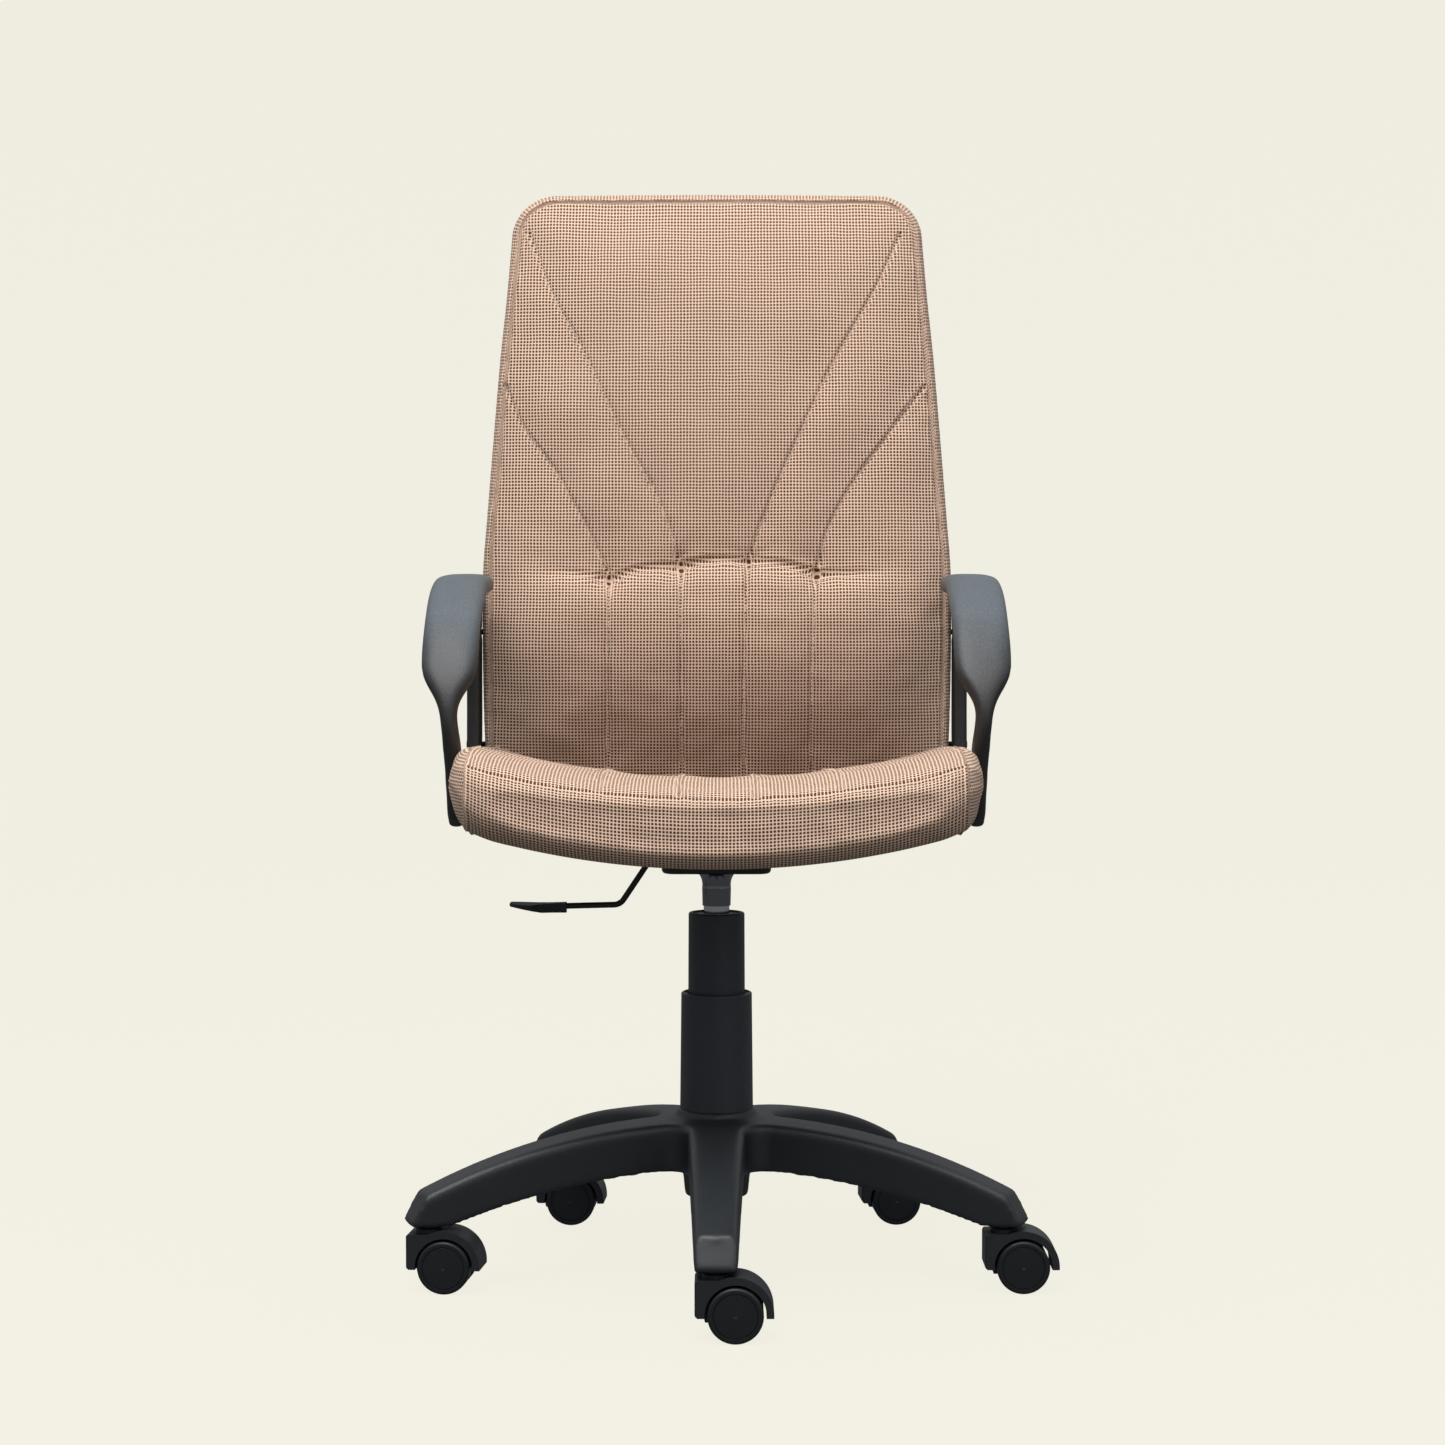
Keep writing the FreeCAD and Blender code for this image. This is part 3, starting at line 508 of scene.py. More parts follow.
def stitches(name, target, runs):
    """Short raised threads along each run of points, laid on the target's surface and riding the seat."""
    tree = BVHTree.FromObject(target, bpy.context.evaluated_depsgraph_get())
    verts, faces = [], []
    for run in runs:
        total = np.sum(np.linalg.norm(np.diff(run, axis=0), axis=1))
        pts = resample(run, max(3, int(total / (STITCH_PITCH / 4)) + 1))
        for i in range(1, len(pts) - 3, 4):
            mid = Vector(pts[i + 1])
            place, normal, _, dist = tree.find_nearest(mid)
            if place is None or dist > 0.02:
                continue
            along = Vector(pts[i + 2] - pts[i])
            along = (along - normal * along.dot(normal)).normalized()
            side = normal.cross(along)
            base = len(verts)
            for t, r, lift in STITCH_RINGS:
                c = place + along * (t * STITCH_LENGTH) + normal * (lift * STITCH_RADIUS)
                for a in range(6):
                    w = a * math.pi / 3
                    verts.append(c + (side * math.cos(w) + normal * math.sin(w)) * (STITCH_RADIUS * r))
            for j in range(4):
                ring = base + j * 6
                for a in range(6):
                    b = (a + 1) % 6
                    faces.append((ring + a, ring + b, ring + 6 + b, ring + 6 + a))
            faces.append(tuple(base + a for a in range(6)))
            faces.append(tuple(base + 24 + a for a in reversed(range(6))))
    ob = make_mesh(name, verts, faces, mat="thread")
    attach(ob, "seat")


def ring_directions(p):
    """Unit directions along a closed ring of plane points."""
    ahead = np.roll(p, -1, axis=0) - np.roll(p, 1, axis=0)
    return ahead / np.linalg.norm(ahead, axis=1)[:, None]


# Back cushion

BACK_LOW, BACK_TOP = 0.462, 1.1155
SHIFT = 0.003             # the tuck's middle is this far to the sitter's right
SEAM_IN = 0.0095          # how far the edge seam is inside the outline


def arc_through(p1, p2, p3):
    """Centre and radius of the arc through three plane points."""
    a = np.array([[p2[0] - p1[0], p2[1] - p1[1]], [p3[0] - p2[0], p3[1] - p2[1]]]) * 2
    b = np.array([p2[0] ** 2 - p1[0] ** 2 + p2[1] ** 2 - p1[1] ** 2,
                  p3[0] ** 2 - p2[0] ** 2 + p3[1] ** 2 - p2[1] ** 2])
    c = np.linalg.solve(a, b)
    return c, float(np.hypot(*(np.array(p1) - c)))


LINE_C, LINE_R = arc_through((0.207, 0.455), (0.238, 0.760), (0.324, 1.100))


def ply_y(z):
    """The front face of the back's plywood at height z."""
    return LINE_C[0] - np.sqrt(LINE_R ** 2 - (z - LINE_C[1]) ** 2)


def round_corner(x, z, radius, first, last, count):
    return [(x + radius * math.cos(a), z + radius * math.sin(a)) for a in np.linspace(first, last, count)]


def back_outline():
    """The back seen from the front, as (x, z) points anticlockwise from the bottom's middle."""
    right = smooth_line([
        (0.2455, 0.484), (0.2485, 0.540), (0.2505, 0.620), (0.2508, 0.700), (0.2465, 0.765), (0.2412, 0.840),
        (0.2345, 0.933), (0.2285, 1.000), (0.2240, 1.062),
    ], 8)
    corner = round_corner(0.1745, 1.0655, 0.0495, 0.06, 1.5, 12)
    low = round_corner(0.2235, 0.484, 0.022, -1.5, -0.06, 6)
    top = [(0.120, BACK_TOP), (0.060, BACK_TOP + 0.0005)]
    side = low + list(map(tuple, right)) + corner
    half = np.array([(0.0, BACK_LOW), (0.1, BACK_LOW)] + side + top + [(0.0, BACK_TOP + 0.0007)])
    left = half[1:-1][::-1] * [-1, 1]
    return np.vstack([half, left])


def offset_outline(p, inward):
    ahead = ring_directions(p)
    return p + inward * np.stack([-ahead[:, 1], ahead[:, 0]], axis=1)


def coons(bottom, top, left, right, nx, nz):
    """A surface of nz by nx points stretched between four border lines."""
    s, t = np.linspace(0, 1, nx)[None, :, None], np.linspace(0, 1, nz)[:, None, None]
    grid = (1 - t) * bottom[None] + t * top[None] + (1 - s) * left[:, None] + s * right[:, None]
    grid -= (1 - s) * (1 - t) * bottom[0] + s * (1 - t) * bottom[-1] + (1 - s) * t * top[0] + s * t * top[-1]
    return grid


def patch_grid(outline, nx, nz):
    """A Coons patch over a closed outline whose four corners are its most diagonal points."""
    o = resample(outline, 1600, closed=True)
    mid = (o.min(0) + o.max(0)) / 2
    r = (o - mid) / ((o.max(0) - o.min(0)) / 2)
    pick = [int(np.argmax(r @ np.array(d))) for d in ((-1, -1), (1, -1), (1, 1), (-1, 1))]

    def side(i, j, n):
        span = np.arange(i, j if j > i else j + len(o)) % len(o)
        return resample(np.vstack([o[span], o[j:j + 1]]), n)

    bottom, right = side(pick[0], pick[1], nx), side(pick[1], pick[2], nz)
    top, left = side(pick[2], pick[3], nx)[::-1], side(pick[3], pick[0], nz)[::-1]
    return coons(bottom, top, left, right, nx, nz).reshape(-1, 2)


def grid_quads(nx, nz):
    return [(j * nx + i, j * nx + i + 1, (j + 1) * nx + i + 1, (j + 1) * nx + i)
            for j in range(nz - 1) for i in range(nx - 1)]


def border_loop(nx, nz):
    """Indices of a grid's border, anticlockwise from its first corner."""
    loop = list(range(nx)) + [j * nx + nx - 1 for j in range(1, nz)]
    loop += [(nz - 1) * nx + i for i in range(nx - 2, -1, -1)] + [j * nx for j in range(nz - 2, 0, -1)]
    return loop


def fill_loop(points, ids, nx, nz, start, flip=False):
    """Quads across a closed loop of points in border_loop's order: the new inner points, and the faces."""
    place, index = np.zeros((nz, nx, 3)), np.zeros((nz, nx), int)
    loop = border_loop(nx, nz)
    place.reshape(-1, 3)[loop] = points
    index.reshape(-1)[loop] = ids
    grid = coons(place[0], place[-1], place[:, 0], place[:, -1], nx, nz)
    inner = np.zeros((nz, nx), bool)
    inner[1:-1, 1:-1] = True
    index[inner] = start + np.arange(inner.sum())
    faces = []
    for j in range(nz - 1):
        for i in range(nx - 1):
            quad = (index[j, i], index[j, i + 1], index[j + 1, i + 1], index[j + 1, i])
            faces.append(quad[::-1] if flip else quad)
    return grid[inner], faces


BACK_SEAMS = {
    "inner_l": [(-0.204, 1.072), (-0.180, 1.008), (-0.1415, 0.937), (-0.100, 0.850), (-0.068, 0.7925),
                (-0.051, 0.752), (-0.0405, 0.716)],
    "inner_r": [(0.199, 1.070), (0.1715, 1.010), (0.1250, 0.928), (0.0750, 0.8215), (0.0525, 0.768),
                (0.0345, 0.719)],
    "outer_l": [(-0.2270, 0.905), (-0.2093, 0.8622), (-0.1736, 0.8128), (-0.1406, 0.7558), (-0.1235, 0.719),
                (-0.1140, 0.699)],
    "outer_r": [(0.2225, 0.903), (0.1885, 0.858), (0.1410, 0.7925), (0.1160, 0.7435), (0.1065, 0.706)],
    "ch_a": [(-0.1140, 0.697), (-0.1155, 0.60), (-0.1150, 0.46)],
    "ch_b": [(-0.0385, 0.712), (-0.0370, 0.60), (-0.0370, 0.46)],
    "ch_c": [(0.0330, 0.716), (0.0290, 0.62), (0.0285, 0.46)],
    "ch_d": [(0.1060, 0.704), (0.1010, 0.62), (0.1000, 0.46)],
}
TUCK = smooth_line([
    (-0.215, 0.7030), (-0.166, 0.7045), (-0.136, 0.7015), (-0.1135, 0.6965), (-0.096, 0.7035),
    (-0.079, 0.7088), (-0.058, 0.7105), (-0.0405, 0.7105), (-0.024, 0.7150), (-0.004, 0.7178),
    (0.018, 0.7175), (0.0345, 0.7150), (0.052, 0.7160), (0.072, 0.7132), (0.092, 0.7080),
    (0.1065, 0.7030), (0.124, 0.7022), (0.150, 0.7035), (0.205, 0.7040),
], 6)
TUCK_POINTS = ((-0.1135, 0.697), (-0.0405, 0.712), (0.0345, 0.717), (0.1065, 0.704))
# The padding's depth in front of the plywood, up the back's middle.
SPINE_Z = [0.45, 0.50, 0.56, 0.62, 0.66, 0.69, 0.705, 0.72, 0.75, 0.80, 0.88, 0.96, 1.04, 1.12]
SPINE_DEPTH = [0.034, 0.041, 0.0500, 0.0545, 0.0550, 0.050, 0.046, 0.043, 0.0405, 0.040, 0.0395, 0.038,
               0.036, 0.033]
EDGE_DEPTH = 0.021
# The boxing strip from the edge seam round to the rear: outward of the seam, and behind the plywood's face.
BOXING = [(0.0022, -0.0195), (0.0050, -0.0165), (0.0075, -0.0125), (0.0090, -0.0075), (0.0095, -0.001),
          (0.0095, 0.005), (0.0088, 0.010), (0.0072, 0.0135), (0.0035, 0.0145), (-0.004, 0.0145),
          (-0.014, 0.0145)]


def back_front_y(x, z, depth):
    """The back cushion's front surface. depth is the distance inside the edge seam."""
    spine = np.interp(z, SPINE_Z, SPINE_DEPTH)
    dome = 1 - (1 - np.clip(depth / 0.115, 0, 1)) ** 2.3
    return ply_y(z) - EDGE_DEPTH - (spine - EDGE_DEPTH) * dome


def back_shape(grid, depth, lines):
    """Heights of the front panel. Foam rises between the seams, and the part above the tuck is set back."""
    x, z = grid[:, 0], grid[:, 1]
    y = back_front_y(x, z, depth)
    rise = np.full(len(x), 1.0)
    for k, line in lines.items():
        d, _ = line_distance(grid, line)
        channel = k.startswith("ch")
        soft = 0.020 if channel else 0.026
        reach = 0.85 if channel else 0.80 * (0.35 + 0.65 * smoothstep(1.08, 0.78, z))
        rise = np.minimum(rise, 1 - reach * np.exp(-d / soft))
    tuck_z = np.interp(x, TUCK[:, 0], TUCK[:, 1])
    ends = smoothstep(0.235, 0.10, np.abs(x + SHIFT))
    above = np.clip(z - tuck_z, 0, None)
    below = np.clip(tuck_z - z, 0, None)
    y -= 0.0075 * (rise - 0.5) * smoothstep(0.0, 0.03, depth)
    y += ends * 0.0135 * np.exp(-above / 0.040) * (z >= tuck_z)
    y += ends * 0.0135 * np.exp(-(below / 0.0085) ** 1.3) * (z < tuck_z)
    return y


def back_mesh(grid, y, nx, nz):
    """The front panel, the boxing round its side to the plywood's rear face, and a flat closing sheet."""
    x, z = grid[:, 0], grid[:, 1]
    verts = [np.stack([x, y, z], axis=1)]
    faces = grid_quads(nx, nz)
    weave = [np.stack([x, z - 0.05 * (z - 0.7) ** 2], axis=1)]
    loop = np.array(border_loop(nx, nz))
    rim = grid[loop]
    ahead = ring_directions(rim)
    outward = np.stack([ahead[:, 1], -ahead[:, 0]], axis=1)
    run = np.concatenate([[0], np.cumsum(np.linalg.norm(np.diff(rim, axis=0), axis=1))])
    base_y = ply_y(rim[:, 1])
    n, start = len(loop), len(x)
    rings = [loop]
    girth, last = 0.0, (0.0, -EDGE_DEPTH)
    for out, dy in BOXING:
        girth += math.hypot(out - last[0], dy - last[1])
        last = (out, dy)
        p = rim + outward * out
        verts.append(np.stack([p[:, 0], base_y + dy, p[:, 1]], axis=1))
        weave.append(np.stack([np.full(n, 0.4) + girth, run], axis=1))
        rings.append(np.arange(start, start + n))
        start += n
    for a, b in zip(rings[:-1], rings[1:]):
        for i in range(n):
            j = (i + 1) % n
            faces.append((a[j], a[i], b[i], b[j]))
    inner, quads = fill_loop(verts[-1], rings[-1], nx, nz, start, flip=True)
    verts.append(inner)
    weave.append(inner[:, [0, 2]])
    faces += quads
    return make_mesh("back_cushion_cover", np.vstack(verts), faces, np.vstack(weave))


def back_freedom(count, grid, depth, lines):
    """1 where the back's cloth can swell, 0 at its seams, its tuck and everywhere behind."""
    free = np.zeros(count)
    front = len(grid)
    free[:front] = smoothstep(0.004, 0.022, depth)
    for line in lines.values():
        d, _ = line_distance(grid, line)
        free[:front] *= smoothstep(0.002, 0.012, d)
    d, _ = line_distance(grid, TUCK)
    ends = smoothstep(0.235, 0.10, np.abs(grid[:, 0] + SHIFT))
    free[:front] *= 1 - ends * (1 - smoothstep(0.003, 0.014, d))
    return free


def back_slack(ob, frontness):
    """Drags and dimples that gather at the tuck, and gentle unevenness all over."""
    co, normal = get_verts(ob), get_normals(ob)
    q = co[:, [0, 2]]
    slack = 0.0010 * rough_noise(q, 0.11, 3) + 0.00035 * rough_noise(q, 0.035, 5)
    for px, pz in TUCK_POINTS:
        dx, dz = q[:, 0] - px, q[:, 1] - pz
        r, th = np.hypot(dx, dz), np.arctan2(dz, dx)
        slack += -0.0030 * np.exp(-(r / 0.014) ** 2)
        star = np.sin(6 * th + 40 * px) * np.exp(-((r - 0.018) / 0.016) ** 2)
        slack += 0.0005 * star * smoothstep(0.003, 0.012, r)
    set_verts(ob, co + normal * (slack * frontness)[:, None])


def build_back():
    nx, nz = 108, 138
    outline = resample(back_outline(), 900, closed=True)
    seam = offset_outline(outline, SEAM_IN)
    grid = patch_grid(seam, nx, nz)
    depth, _ = line_distance(grid, np.vstack([seam[::3], seam[:1]]))
    lines = {k: smooth_line(v, 6) for k, v in BACK_SEAMS.items()}
    ob = back_mesh(grid, back_shape(grid, depth, lines), nx, nz)
    inflate(ob, 1 - back_freedom(len(ob.data.vertices), grid, depth, lines), 3.2, 0.0060)
    subdivide(ob)
    co = get_verts(ob)
    q = co[:, [0, 2]]
    frontness = smoothstep(-0.010, -0.017, co[:, 1] - ply_y(co[:, 2]))
    seams = []
    for k, line in lines.items():
        seams.append((line, 0.0027 if k.startswith("ch") else 0.0023, 0.0022, 0.00030, frontness))
    edge_line = np.vstack([seam[::2], seam[:1]])
    seams.append((edge_line, 0.0018, 0.0018, 0.00022, np.ones(len(co))))
    near = smoothstep(0.190, 0.115, np.abs(q[:, 0] + SHIFT))
    seams.append((TUCK, 0.0026, 0.0030, 0.0004, frontness * near))
    sew(ob, q, seams)
    back_slack(ob, frontness)
    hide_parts("back_cushion")
    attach(ob, "seat")
    runs = [back_run(line, side * STITCH_IN) for line in lines.values() for side in (-1, 1)]
    runs.append(back_run(edge_line, -STITCH_IN))
    stitches("back_stitches", ob, runs)


def back_run(line, offset):
    """Points of a row of stitches beside a seam of the back, in 3-D."""
    line = resample(line, max(8, int(np.sum(np.linalg.norm(np.diff(line, axis=0), axis=1)) / 0.004)))
    ahead = np.gradient(line, axis=0)
    ahead /= np.maximum(np.linalg.norm(ahead, axis=1), 1e-9)[:, None]
    p = line + offset * np.stack([-ahead[:, 1], ahead[:, 0]], axis=1)
    inside = np.full(len(p), 0.06)
    y = back_front_y(p[:, 0], p[:, 1], inside) + 0.010
    edge = np.abs(p[:, 0]) > 0.20
    y = np.where(edge | (p[:, 1] > 1.06), ply_y(p[:, 1]) - 0.024, y)
    return np.stack([p[:, 0], y, p[:, 1]], axis=1)


def build_back_rear():
    """The back's rear panel: a thin upholstered board, fitted inside the boxing."""
    nx, nz = 60, 80
    outline = resample(back_outline(), 600, closed=True)
    edge = offset_outline(outline, 0.0045)
    grid = patch_grid(edge, nx, nz)
    depth, _ = line_distance(grid, np.vstack([edge[::3], edge[:1]]))
    x, z = grid[:, 0], grid[:, 1]
    rise = 0.0085 * (1 - (1 - np.clip(depth / 0.016, 0, 1)) ** 2.2) + 0.004 * smoothstep(0, 0.12, depth)
    y = ply_y(z) + 0.0155 + rise
    verts = [np.stack([x, y, z], axis=1)]
    faces = [(a, d, c, b) for a, b, c, d in grid_quads(nx, nz)]
    loop = np.array(border_loop(nx, nz))
    rim = grid[loop]
    inner = rim * [0.97, 1.0]
    verts.append(np.stack([inner[:, 0], ply_y(rim[:, 1]) + 0.0148, inner[:, 1]], axis=1))
    start = len(x)
    n = len(loop)
    for i in range(n):
        j = (i + 1) % n
        faces.append((loop[i], loop[j], start + j, start + i))
    inner, quads = fill_loop(verts[-1], start + np.arange(n), nx, nz, start + n)
    verts.append(inner)
    faces += quads
    verts = np.vstack(verts)
    weave = np.stack([verts[:, 0], verts[:, 2]], axis=1)
    ob = make_mesh("back_rear_panel", verts, faces, weave)
    subdivide(ob)
    co, normal = get_verts(ob), get_normals(ob)
    slack = 0.0006 * rough_noise(co[:, [0, 2]], 0.13, 8)
    set_verts(ob, co + normal * (slack * (co[:, 1] > ply_y(co[:, 2]) + 0.02))[:, None])
    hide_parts("back_rear_cover")
    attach(ob, "seat")


# Seat cushion

SEAT_UNDER = 0.4385
SEAT_W = 0.2345           # half the width between the corner seams
FRONT_TOP_Y, REAR_TOP_Y = -0.2385, 0.200    # where the top panel starts and ends
CHANNELS = (-0.1115, -0.0350, 0.0375, 0.1165)
# Each end's round edge: outward of the corner seam, and how much smaller the profile is there.
CAP = [(0.0030, 0.0004), (0.0070, 0.0018), (0.0110, 0.0044), (0.0145, 0.0080), (0.0175, 0.0125),
       (0.0200, 0.0190)]
# Rings that close each end: size against the last ring of the cap, and how far they stand out.
END_RINGS = ((0.62, 0.0010), (0.28, 0.0016), (0.0, 0.0018))


def seat_profile():
    """The seat's outline in the YZ plane at its middle: underneath from the rear forward, up and back."""
    under = [(y, SEAT_UNDER) for y in (0.204, 0.10, 0.0, -0.10)]
    front = [
        (-0.165, SEAT_UNDER - 0.0010), (-0.200, 0.4330), (-0.2270, 0.4275), (-0.2440, 0.4325),
        (-0.2540, 0.4450), (-0.2565, 0.4620), (-0.2535, 0.4780), (-0.2450, 0.4900), (-0.2320, 0.4955),
    ]
    over = [
        (-0.2120, 0.5000), (-0.1850, 0.5035), (-0.150, 0.5050), (-0.100, 0.5040), (-0.04, 0.5012),
        (0.03, 0.4965), (0.10, 0.4915), (0.160, 0.4865), (0.200, 0.4820),
    ]
    rear = [(0.2150, 0.4750), (0.2175, 0.4630), (0.2140, 0.4470), (0.204, SEAT_UNDER)]
    return smooth_line(under + front + over + rear, 10)[:-1]


def dish_height(x):
    return 0.0300 * (np.abs(x) / 0.235) ** 2.1


def seat_bend(x, y, z):
    """Bends a flat seat into its dish, and draws its front corners back. Returns rows of points."""
    dish = dish_height(x)
    low = smoothstep(0.485, 0.450, z)
    dish *= 1 - 0.42 * low
    lip = low * smoothstep(-0.165, -0.215, y)
    dish += 0.014 * lip * (np.abs(x) / 0.225) ** 2
    dish += 0.012 * low * lip * np.clip((np.abs(x) - 0.210) / 0.044, 0, 1) ** 2
    ahead = smoothstep(-0.06, -0.22, y)
    back = 0.010 * (x / 0.235) ** 2 + 0.055 * np.clip((np.abs(x) - 0.205) / 0.052, 0, 1) ** 2.6
    narrow = 1 - 0.055 * smoothstep(-0.05, 0.21, y)
    return np.stack([x * narrow, y + ahead * back, z + dish], axis=1)


def seat_girth():
    """Distance over the cloth from the corner seam to each ring of the cap."""
    girth, total, last = {0.0: 0.0}, 0.0, (0.0, 0.0)
    for out, shrink in CAP:
        total += math.hypot(out - last[0], shrink - last[1])
        last = (out, shrink)
        girth[out] = total
    return girth, total


def seat_column(x, shrink, prof, inward, top):
    """The seat's profile at x, with foam risen between the channels."""
    p = prof + inward * shrink
    crown = 0.0020 * (1 - min(1.0, abs(x) / SEAT_W) ** 4)
    rise = min(1 - 0.9 * math.exp(-abs(x - c) / 0.020) for c in CHANNELS)
    lift = top * (crown + 0.0050 * (rise - 0.55) * smoothstep(SEAT_W, SEAT_W - 0.03, abs(x)))
    return seat_bend(np.full(len(prof), x), p[:, 0], p[:, 1] + lift)


def end_spine(y, ring):
    """The line at the middle of an end that its rings close on, as y and z for each given y."""
    along = np.linspace(ring[:, 1].min() + 0.036, ring[:, 1].max() - 0.036, 24)
    slices = [ring[np.abs(ring[:, 1] - place) < 0.014, 2] for place in along]
    height = np.array([(z.min() + z.max()) / 2 for z in slices])
    spine_y = np.clip(y, along[0], along[-1])
    return spine_y, np.interp(spine_y, along, height)


def seat_mesh(prof, arc, nx=100):
    """The whole cover with both closed ends. Also returns the last ring of the cap at the +X end."""
    nv = len(prof)
    ahead = ring_directions(prof)
    inward = np.stack([-ahead[:, 1], ahead[:, 0]], axis=1)
    if np.mean(np.sum(inward * (prof.mean(axis=0) - prof), axis=1)) < 0:
        inward = -inward
    girth, total = seat_girth()
    columns = [(-SEAT_W - out, shrink) for out, shrink in reversed(CAP)]
    columns += [(x, 0.0) for x in np.linspace(-SEAT_W, SEAT_W, nx)]
    columns += [(SEAT_W + out, shrink) for out, shrink in CAP]
    top = smoothstep(0.485, 0.497, prof[:, 1]) * smoothstep(-0.236, -0.222, prof[:, 0])
    verts, weave, faces = [], [], []
    for x, shrink in columns:
        verts.append(seat_column(x, shrink, prof, inward, top))
        over = max(0.0, round(abs(x) - SEAT_W, 6))
        u = x if over == 0 else math.copysign(SEAT_W + girth[over], x)
        weave.append(np.stack([np.full(nv, u), arc], axis=1))
    for i in range(len(columns) - 1):
        for j in range(nv):
            k = (j + 1) % nv
            faces.append((i * nv + j, i * nv + k, (i + 1) * nv + k, (i + 1) * nv + j))
    start = len(columns) * nv
    for i, sign in ((0, -1), (len(columns) - 1, 1)):
        ring = verts[i]
        spine = np.stack([ring[:, 0], *end_spine(ring[:, 1], ring)], axis=1)
        prev = np.arange(i * nv, (i + 1) * nv)
        for f, out in END_RINGS:
            pts = ring * f + spine * (1 - f)
            pts[:, 0] += sign * out
            inward_by = np.linalg.norm((ring - pts)[:, 1:], axis=1)
            verts.append(pts)
            weave.append(np.stack([sign * (SEAT_W + total + inward_by), arc], axis=1))
            ids = np.arange(start, start + nv)
            for j in range(nv):
                k = (j + 1) % nv
                quad = (prev[j], prev[k], ids[k], ids[j])
                faces.append(quad[::-1] if sign < 0 else quad)
            prev = ids
            start += nv
    ob = make_mesh("seat_cushion_cover", np.vstack(verts), faces, np.vstack(weave))
    merge = ob.modifiers.new("weld", "WELD")
    merge.merge_threshold = 0.0004
    apply_modifiers(ob)
    return ob, ring


def seat_freedom(ob, front_arc):
    """1 where the seat's cloth can swell, 0 at its seams, its underside and its ends."""
    co, w = get_verts(ob), get_weave(ob)
    free = smoothstep(SEAT_W - 0.002, SEAT_W - 0.018, np.abs(w[:, 0]))
    free *= smoothstep(0.440, 0.452, co[:, 2] - dish_height(co[:, 0]))
    free *= smoothstep(0.003, 0.014, np.abs(w[:, 1] - front_arc))
    for c in CHANNELS:
        on_top = w[:, 1] > front_arc
        free *= np.where(on_top, smoothstep(0.002, 0.012, np.abs(w[:, 0] - c)), 1.0)
    return free


def sew_seat(ob, arc, front_arc, rear_arc):
    """Channels along the top, a seam along the front edge, and one round each end."""
    q = get_weave(ob)[:, :2]
    body = (np.abs(q[:, 0]) < SEAT_W + 0.03).astype(float)
    seams = []
    for c in CHANNELS:
        seams.append((np.array([(c, front_arc + 0.004), (c, rear_arc)]), 0.0024, 0.0022, 0.0004, body))
    seams.append((np.array([(-SEAT_W, front_arc), (SEAT_W, front_arc)]), 0.0020, 0.0020, 0.0005, body))
    for s in (-1, 1):
        seams.append((np.array([(s * SEAT_W, arc[0]), (s * SEAT_W, arc[-1])]), 0.0013, 0.0019, 0.0002, body))
    sew(ob, q, seams)
    co, normal = get_verts(ob), get_normals(ob)
    slack = 0.0009 * rough_noise(co[:, :2], 0.10, 13) + 0.0004 * rough_noise(q, 0.032, 15)
    set_verts(ob, co + normal * (slack * smoothstep(0.445, 0.46, co[:, 2]))[:, None])


def seat_runs(prof, arc, front_arc, rear_arc):
    """Points of the rows of stitches beside the seat's seams."""
    runs = []
    over = prof[(arc > front_arc) & (arc < rear_arc)]
    for c in CHANNELS:
        for side in (-0.0038, 0.0038):
            runs.append(seat_bend(np.full(len(over), c + side), over[:, 0], over[:, 1]))
    across = np.linspace(-SEAT_W + 0.006, SEAT_W - 0.006, 160)
    for aside in (-STITCH_IN, STITCH_IN):
        y, z = prof[int(np.argmin(np.abs(arc - front_arc - aside)))]
        runs.append(seat_bend(across, np.full(len(across), y), np.full(len(across), z)))
    under_arc = arc[np.argmin(np.abs(prof[:, 0] + 0.18))]
    ring = prof[(arc > under_arc) & (arc < rear_arc)]
    for s in (-1, 1):
        runs.append(seat_bend(np.full(len(ring), s * (SEAT_W - STITCH_IN)), ring[:, 0], ring[:, 1]))
    return runs


def lay_end_weave(ob, ring):
    """Lays the weave of the seat's ends out flat from the middle of each end, as on a boxing piece."""
    total = seat_girth()[1]
    co, w = get_verts(ob), get_weave(ob)
    past = np.abs(w[:, 0]) - SEAT_W
    end = past > 0.0006
    spine_y, spine_z = end_spine(co[:, 1], ring)
    away_y, away_z = co[:, 1] - spine_y, co[:, 2] - spine_z
    flat = np.maximum(np.hypot(away_y, away_z), 1e-6)
    longer = 1 + 0.36 * np.clip(total - past, 0, total) / flat
    w[end, 0] = (spine_y + away_y * longer + 0.7)[end]
    w[end, 1] = (away_z * longer + spine_z)[end]
    set_weave(ob.data, w)


def build_seat():
    prof = resample(seat_profile(), 200, closed=True)
    step = np.linalg.norm(np.roll(prof, -1, axis=0) - prof, axis=1)
    arc = np.concatenate([[0], np.cumsum(step)[:-1]])
    front_arc = arc[np.argmin(np.abs(prof[:, 0] - FRONT_TOP_Y) + 10 * (prof[:, 1] < 0.485))]
    rear_arc = arc[np.argmin(np.abs(prof[:, 0] - REAR_TOP_Y) + 10 * (prof[:, 1] < 0.47))]
    ob, ring = seat_mesh(prof, arc)
    inflate(ob, 1 - seat_freedom(ob, front_arc), 3.5, 0.0070)
    subdivide(ob)
    sew_seat(ob, arc, front_arc, rear_arc)
    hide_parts("seat_cushion")
    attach(ob, "seat")
    lay_end_weave(ob, ring)
    stitches("seat_stitches", ob, seat_runs(prof, arc, front_arc, rear_arc))


# Mouldings

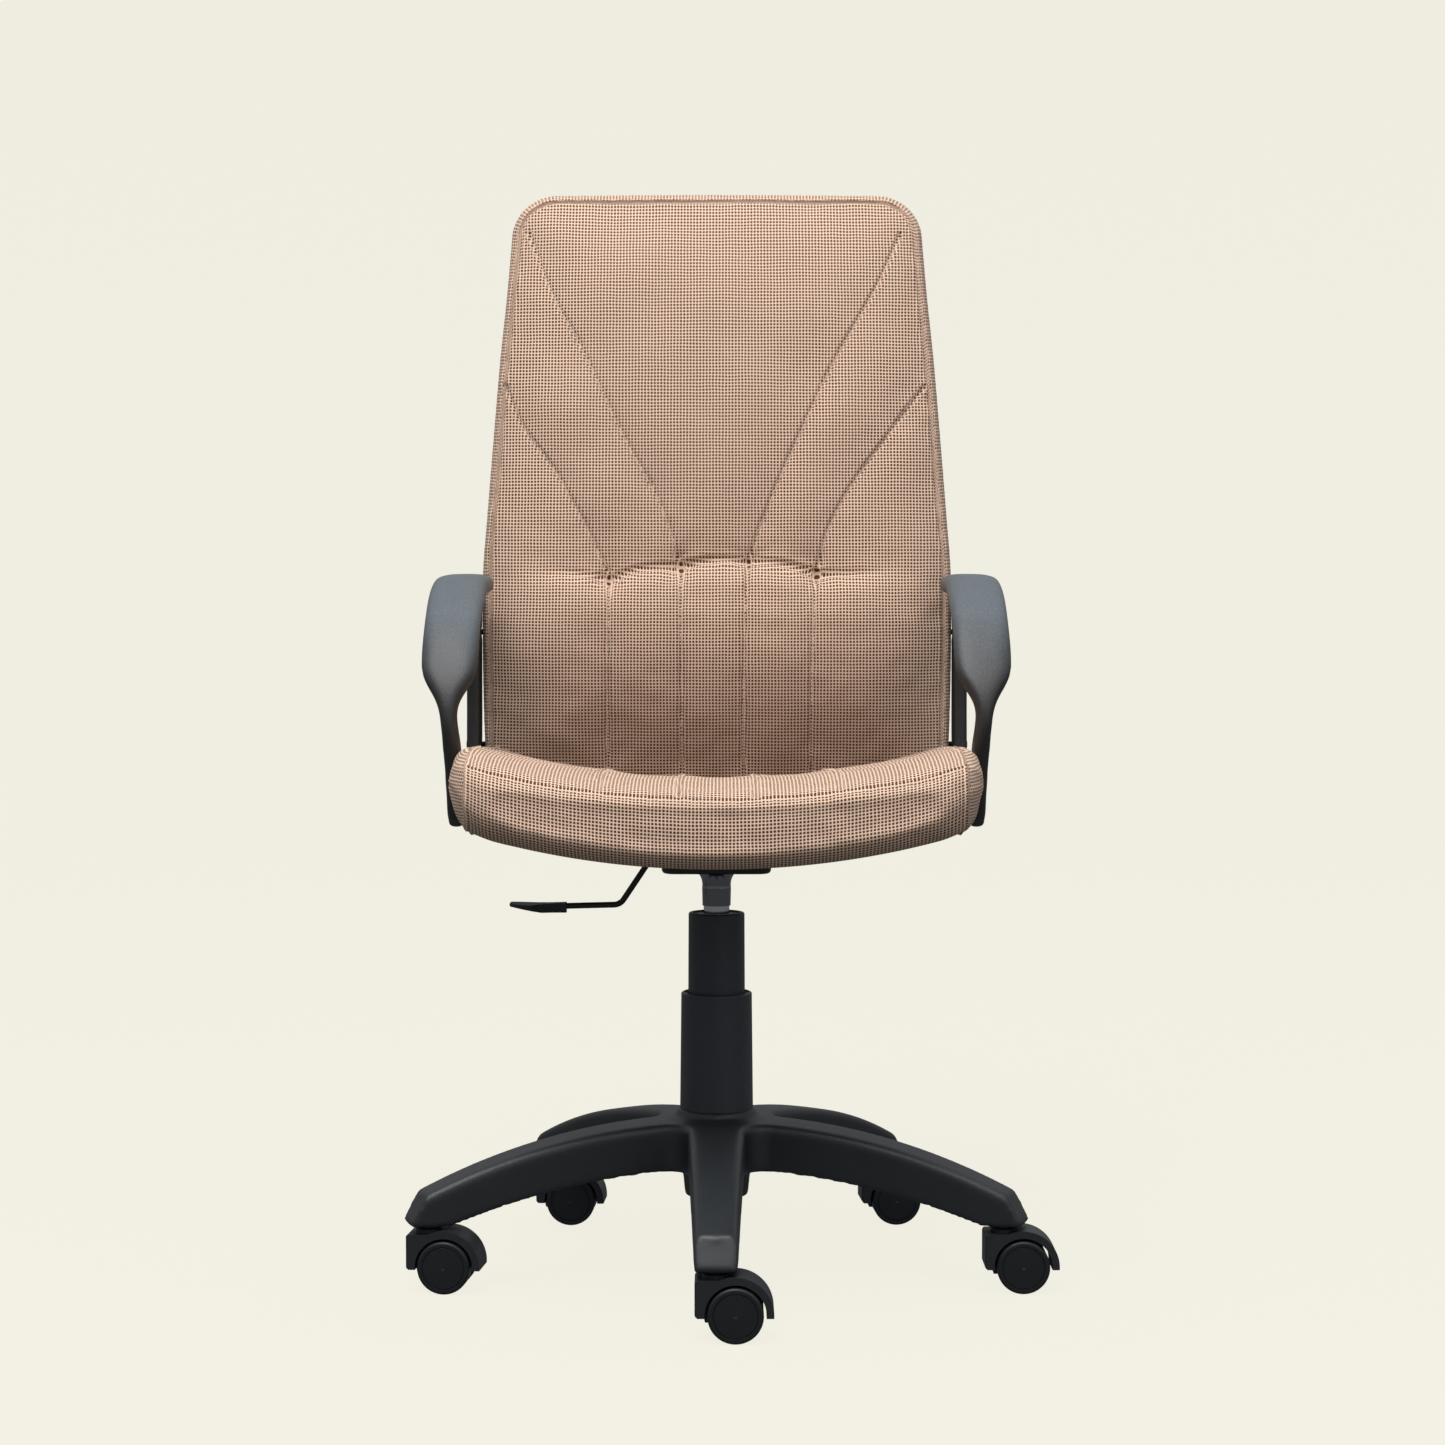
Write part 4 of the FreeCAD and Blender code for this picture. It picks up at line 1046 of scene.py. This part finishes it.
def soften(node, voxel, rounds):
    """Blends a CAD piece's crossing faces into one smooth moulding, with modifiers only."""
    ob = frame["nodes"][node]
    mod = ob.modifiers.new("remesh", "REMESH")
    mod.mode = "VOXEL"
    mod.voxel_size = voxel
    mod.use_smooth_shade = True
    mod = ob.modifiers.new("smooth", "SMOOTH")
    mod.factor = 0.5
    mod.iterations = rounds


# Floor and light

COVE_FLAT, COVE_BEND, COVE_HEIGHT, COVE_SIDES = 5.0, 2.5, 9.0, 64
SKY = ((0.0, 0.20), (0.46, 0.17), (0.56, 0.36), (1.0, 1.0))    # brightness from straight down to straight up
SKY_TINT, SKY_STRENGTH = (0.97, 0.985, 1.0), 0.78
# Soft square lamps: name, place, aim, size and power.
LAMPS = (
    ("key", (-0.6, -1.55, 3.75), (0, 0, 0.6), 2.0, 128.0),
    ("fill", (1.9, -2.8, 2.2), (0, 0, 0.6), 2.4, 18.0),
    ("top", (0.3, 0.4, 3.6), (0, 0, 0.5), 2.6, 14.0),
)


def add_floor():
    """A plain pale floor that curves up into a round wall."""
    m = Nodes("floor")
    m.set(Base_Color=(0.030, 0.030, 0.027), Roughness=1.0, Specular_IOR_Level=0.0)
    m.set(Emission_Color=(0.852, 0.836, 0.741), Emission_Strength=1.0)
    side = [(0.4, 0.0), (COVE_FLAT, 0.0)]
    for a in np.linspace(0.1, math.pi / 2, 14):
        side.append((COVE_FLAT + COVE_BEND * math.sin(a), COVE_BEND - COVE_BEND * math.cos(a)))
    side.append((COVE_FLAT + COVE_BEND, COVE_HEIGHT))
    below = 0.0002
    verts, faces = [(0, 0, -below)], []
    for r, z in side:
        for k in range(COVE_SIDES):
            a = 2 * math.pi * k / COVE_SIDES
            verts.append((r * math.cos(a), r * math.sin(a), z - below))
    for k in range(COVE_SIDES):
        after = (k + 1) % COVE_SIDES
        faces.append((0, 1 + k, 1 + after))
        for i in range(len(side) - 1):
            p, q = 1 + i * COVE_SIDES, 1 + (i + 1) * COVE_SIDES
            faces.append((p + k, q + k, q + after, p + after))
    me = bpy.data.meshes.new("floor")
    me.from_pydata(verts, [], faces)
    me.materials.append(m.mat)
    me.polygons.foreach_set("use_smooth", [True] * len(me.polygons))
    ob = bpy.data.objects.new("floor", me)
    ob.visible_diffuse = ob.visible_glossy = ob.visible_shadow = False
    bpy.context.collection.objects.link(ob)


def add_sky():
    """Soft studio light from all round, brightest overhead."""
    world = bpy.data.worlds.new("world")
    world.use_nodes = True
    tree = world.node_tree
    sky = tree.nodes.new("ShaderNodeTexCoord")
    split = tree.nodes.new("ShaderNodeSeparateXYZ")
    fade = tree.nodes.new("ShaderNodeValToRGB")
    tree.links.new(sky.outputs["Generated"], split.inputs[0])
    shift = tree.nodes.new("ShaderNodeMath")
    shift.operation = "MULTIPLY_ADD"
    shift.inputs[1].default_value = shift.inputs[2].default_value = 0.5
    tree.links.new(split.outputs[2], shift.inputs[0])
    tree.links.new(shift.outputs[0], fade.inputs[0])
    for i, (at, tone) in enumerate(SKY):
        e = fade.color_ramp.elements[i] if i < 2 else fade.color_ramp.elements.new(at)
        e.position = at
        e.color = (*(tone * c for c in SKY_TINT), 1)
    tree.links.new(fade.outputs[0], tree.nodes["Background"].inputs[0])
    tree.nodes["Background"].inputs[1].default_value = SKY_STRENGTH
    bpy.context.scene.world = world


def add_lamps():
    for name, place, aim, size, power in LAMPS:
        lamp = bpy.data.lights.new(name, "AREA")
        lamp.shape = "SQUARE"
        lamp.size = size
        lamp.energy = power
        ob = bpy.data.objects.new(name, lamp)
        ob.location = place
        ob.rotation_euler = (Vector(aim) - Vector(place)).to_track_quat("-Z", "Y").to_euler()
        bpy.context.collection.objects.link(ob)


add_camera()
paint_frame()
build_back()
build_back_rear()
build_seat()
soften("armrest_left", 0.0022, 12)
soften("armrest_right", 0.0022, 12)
soften("star_base", 0.0022, 10)
add_floor()
add_sky()
add_lamps()
bpy.context.scene.view_settings.view_transform = "Standard"
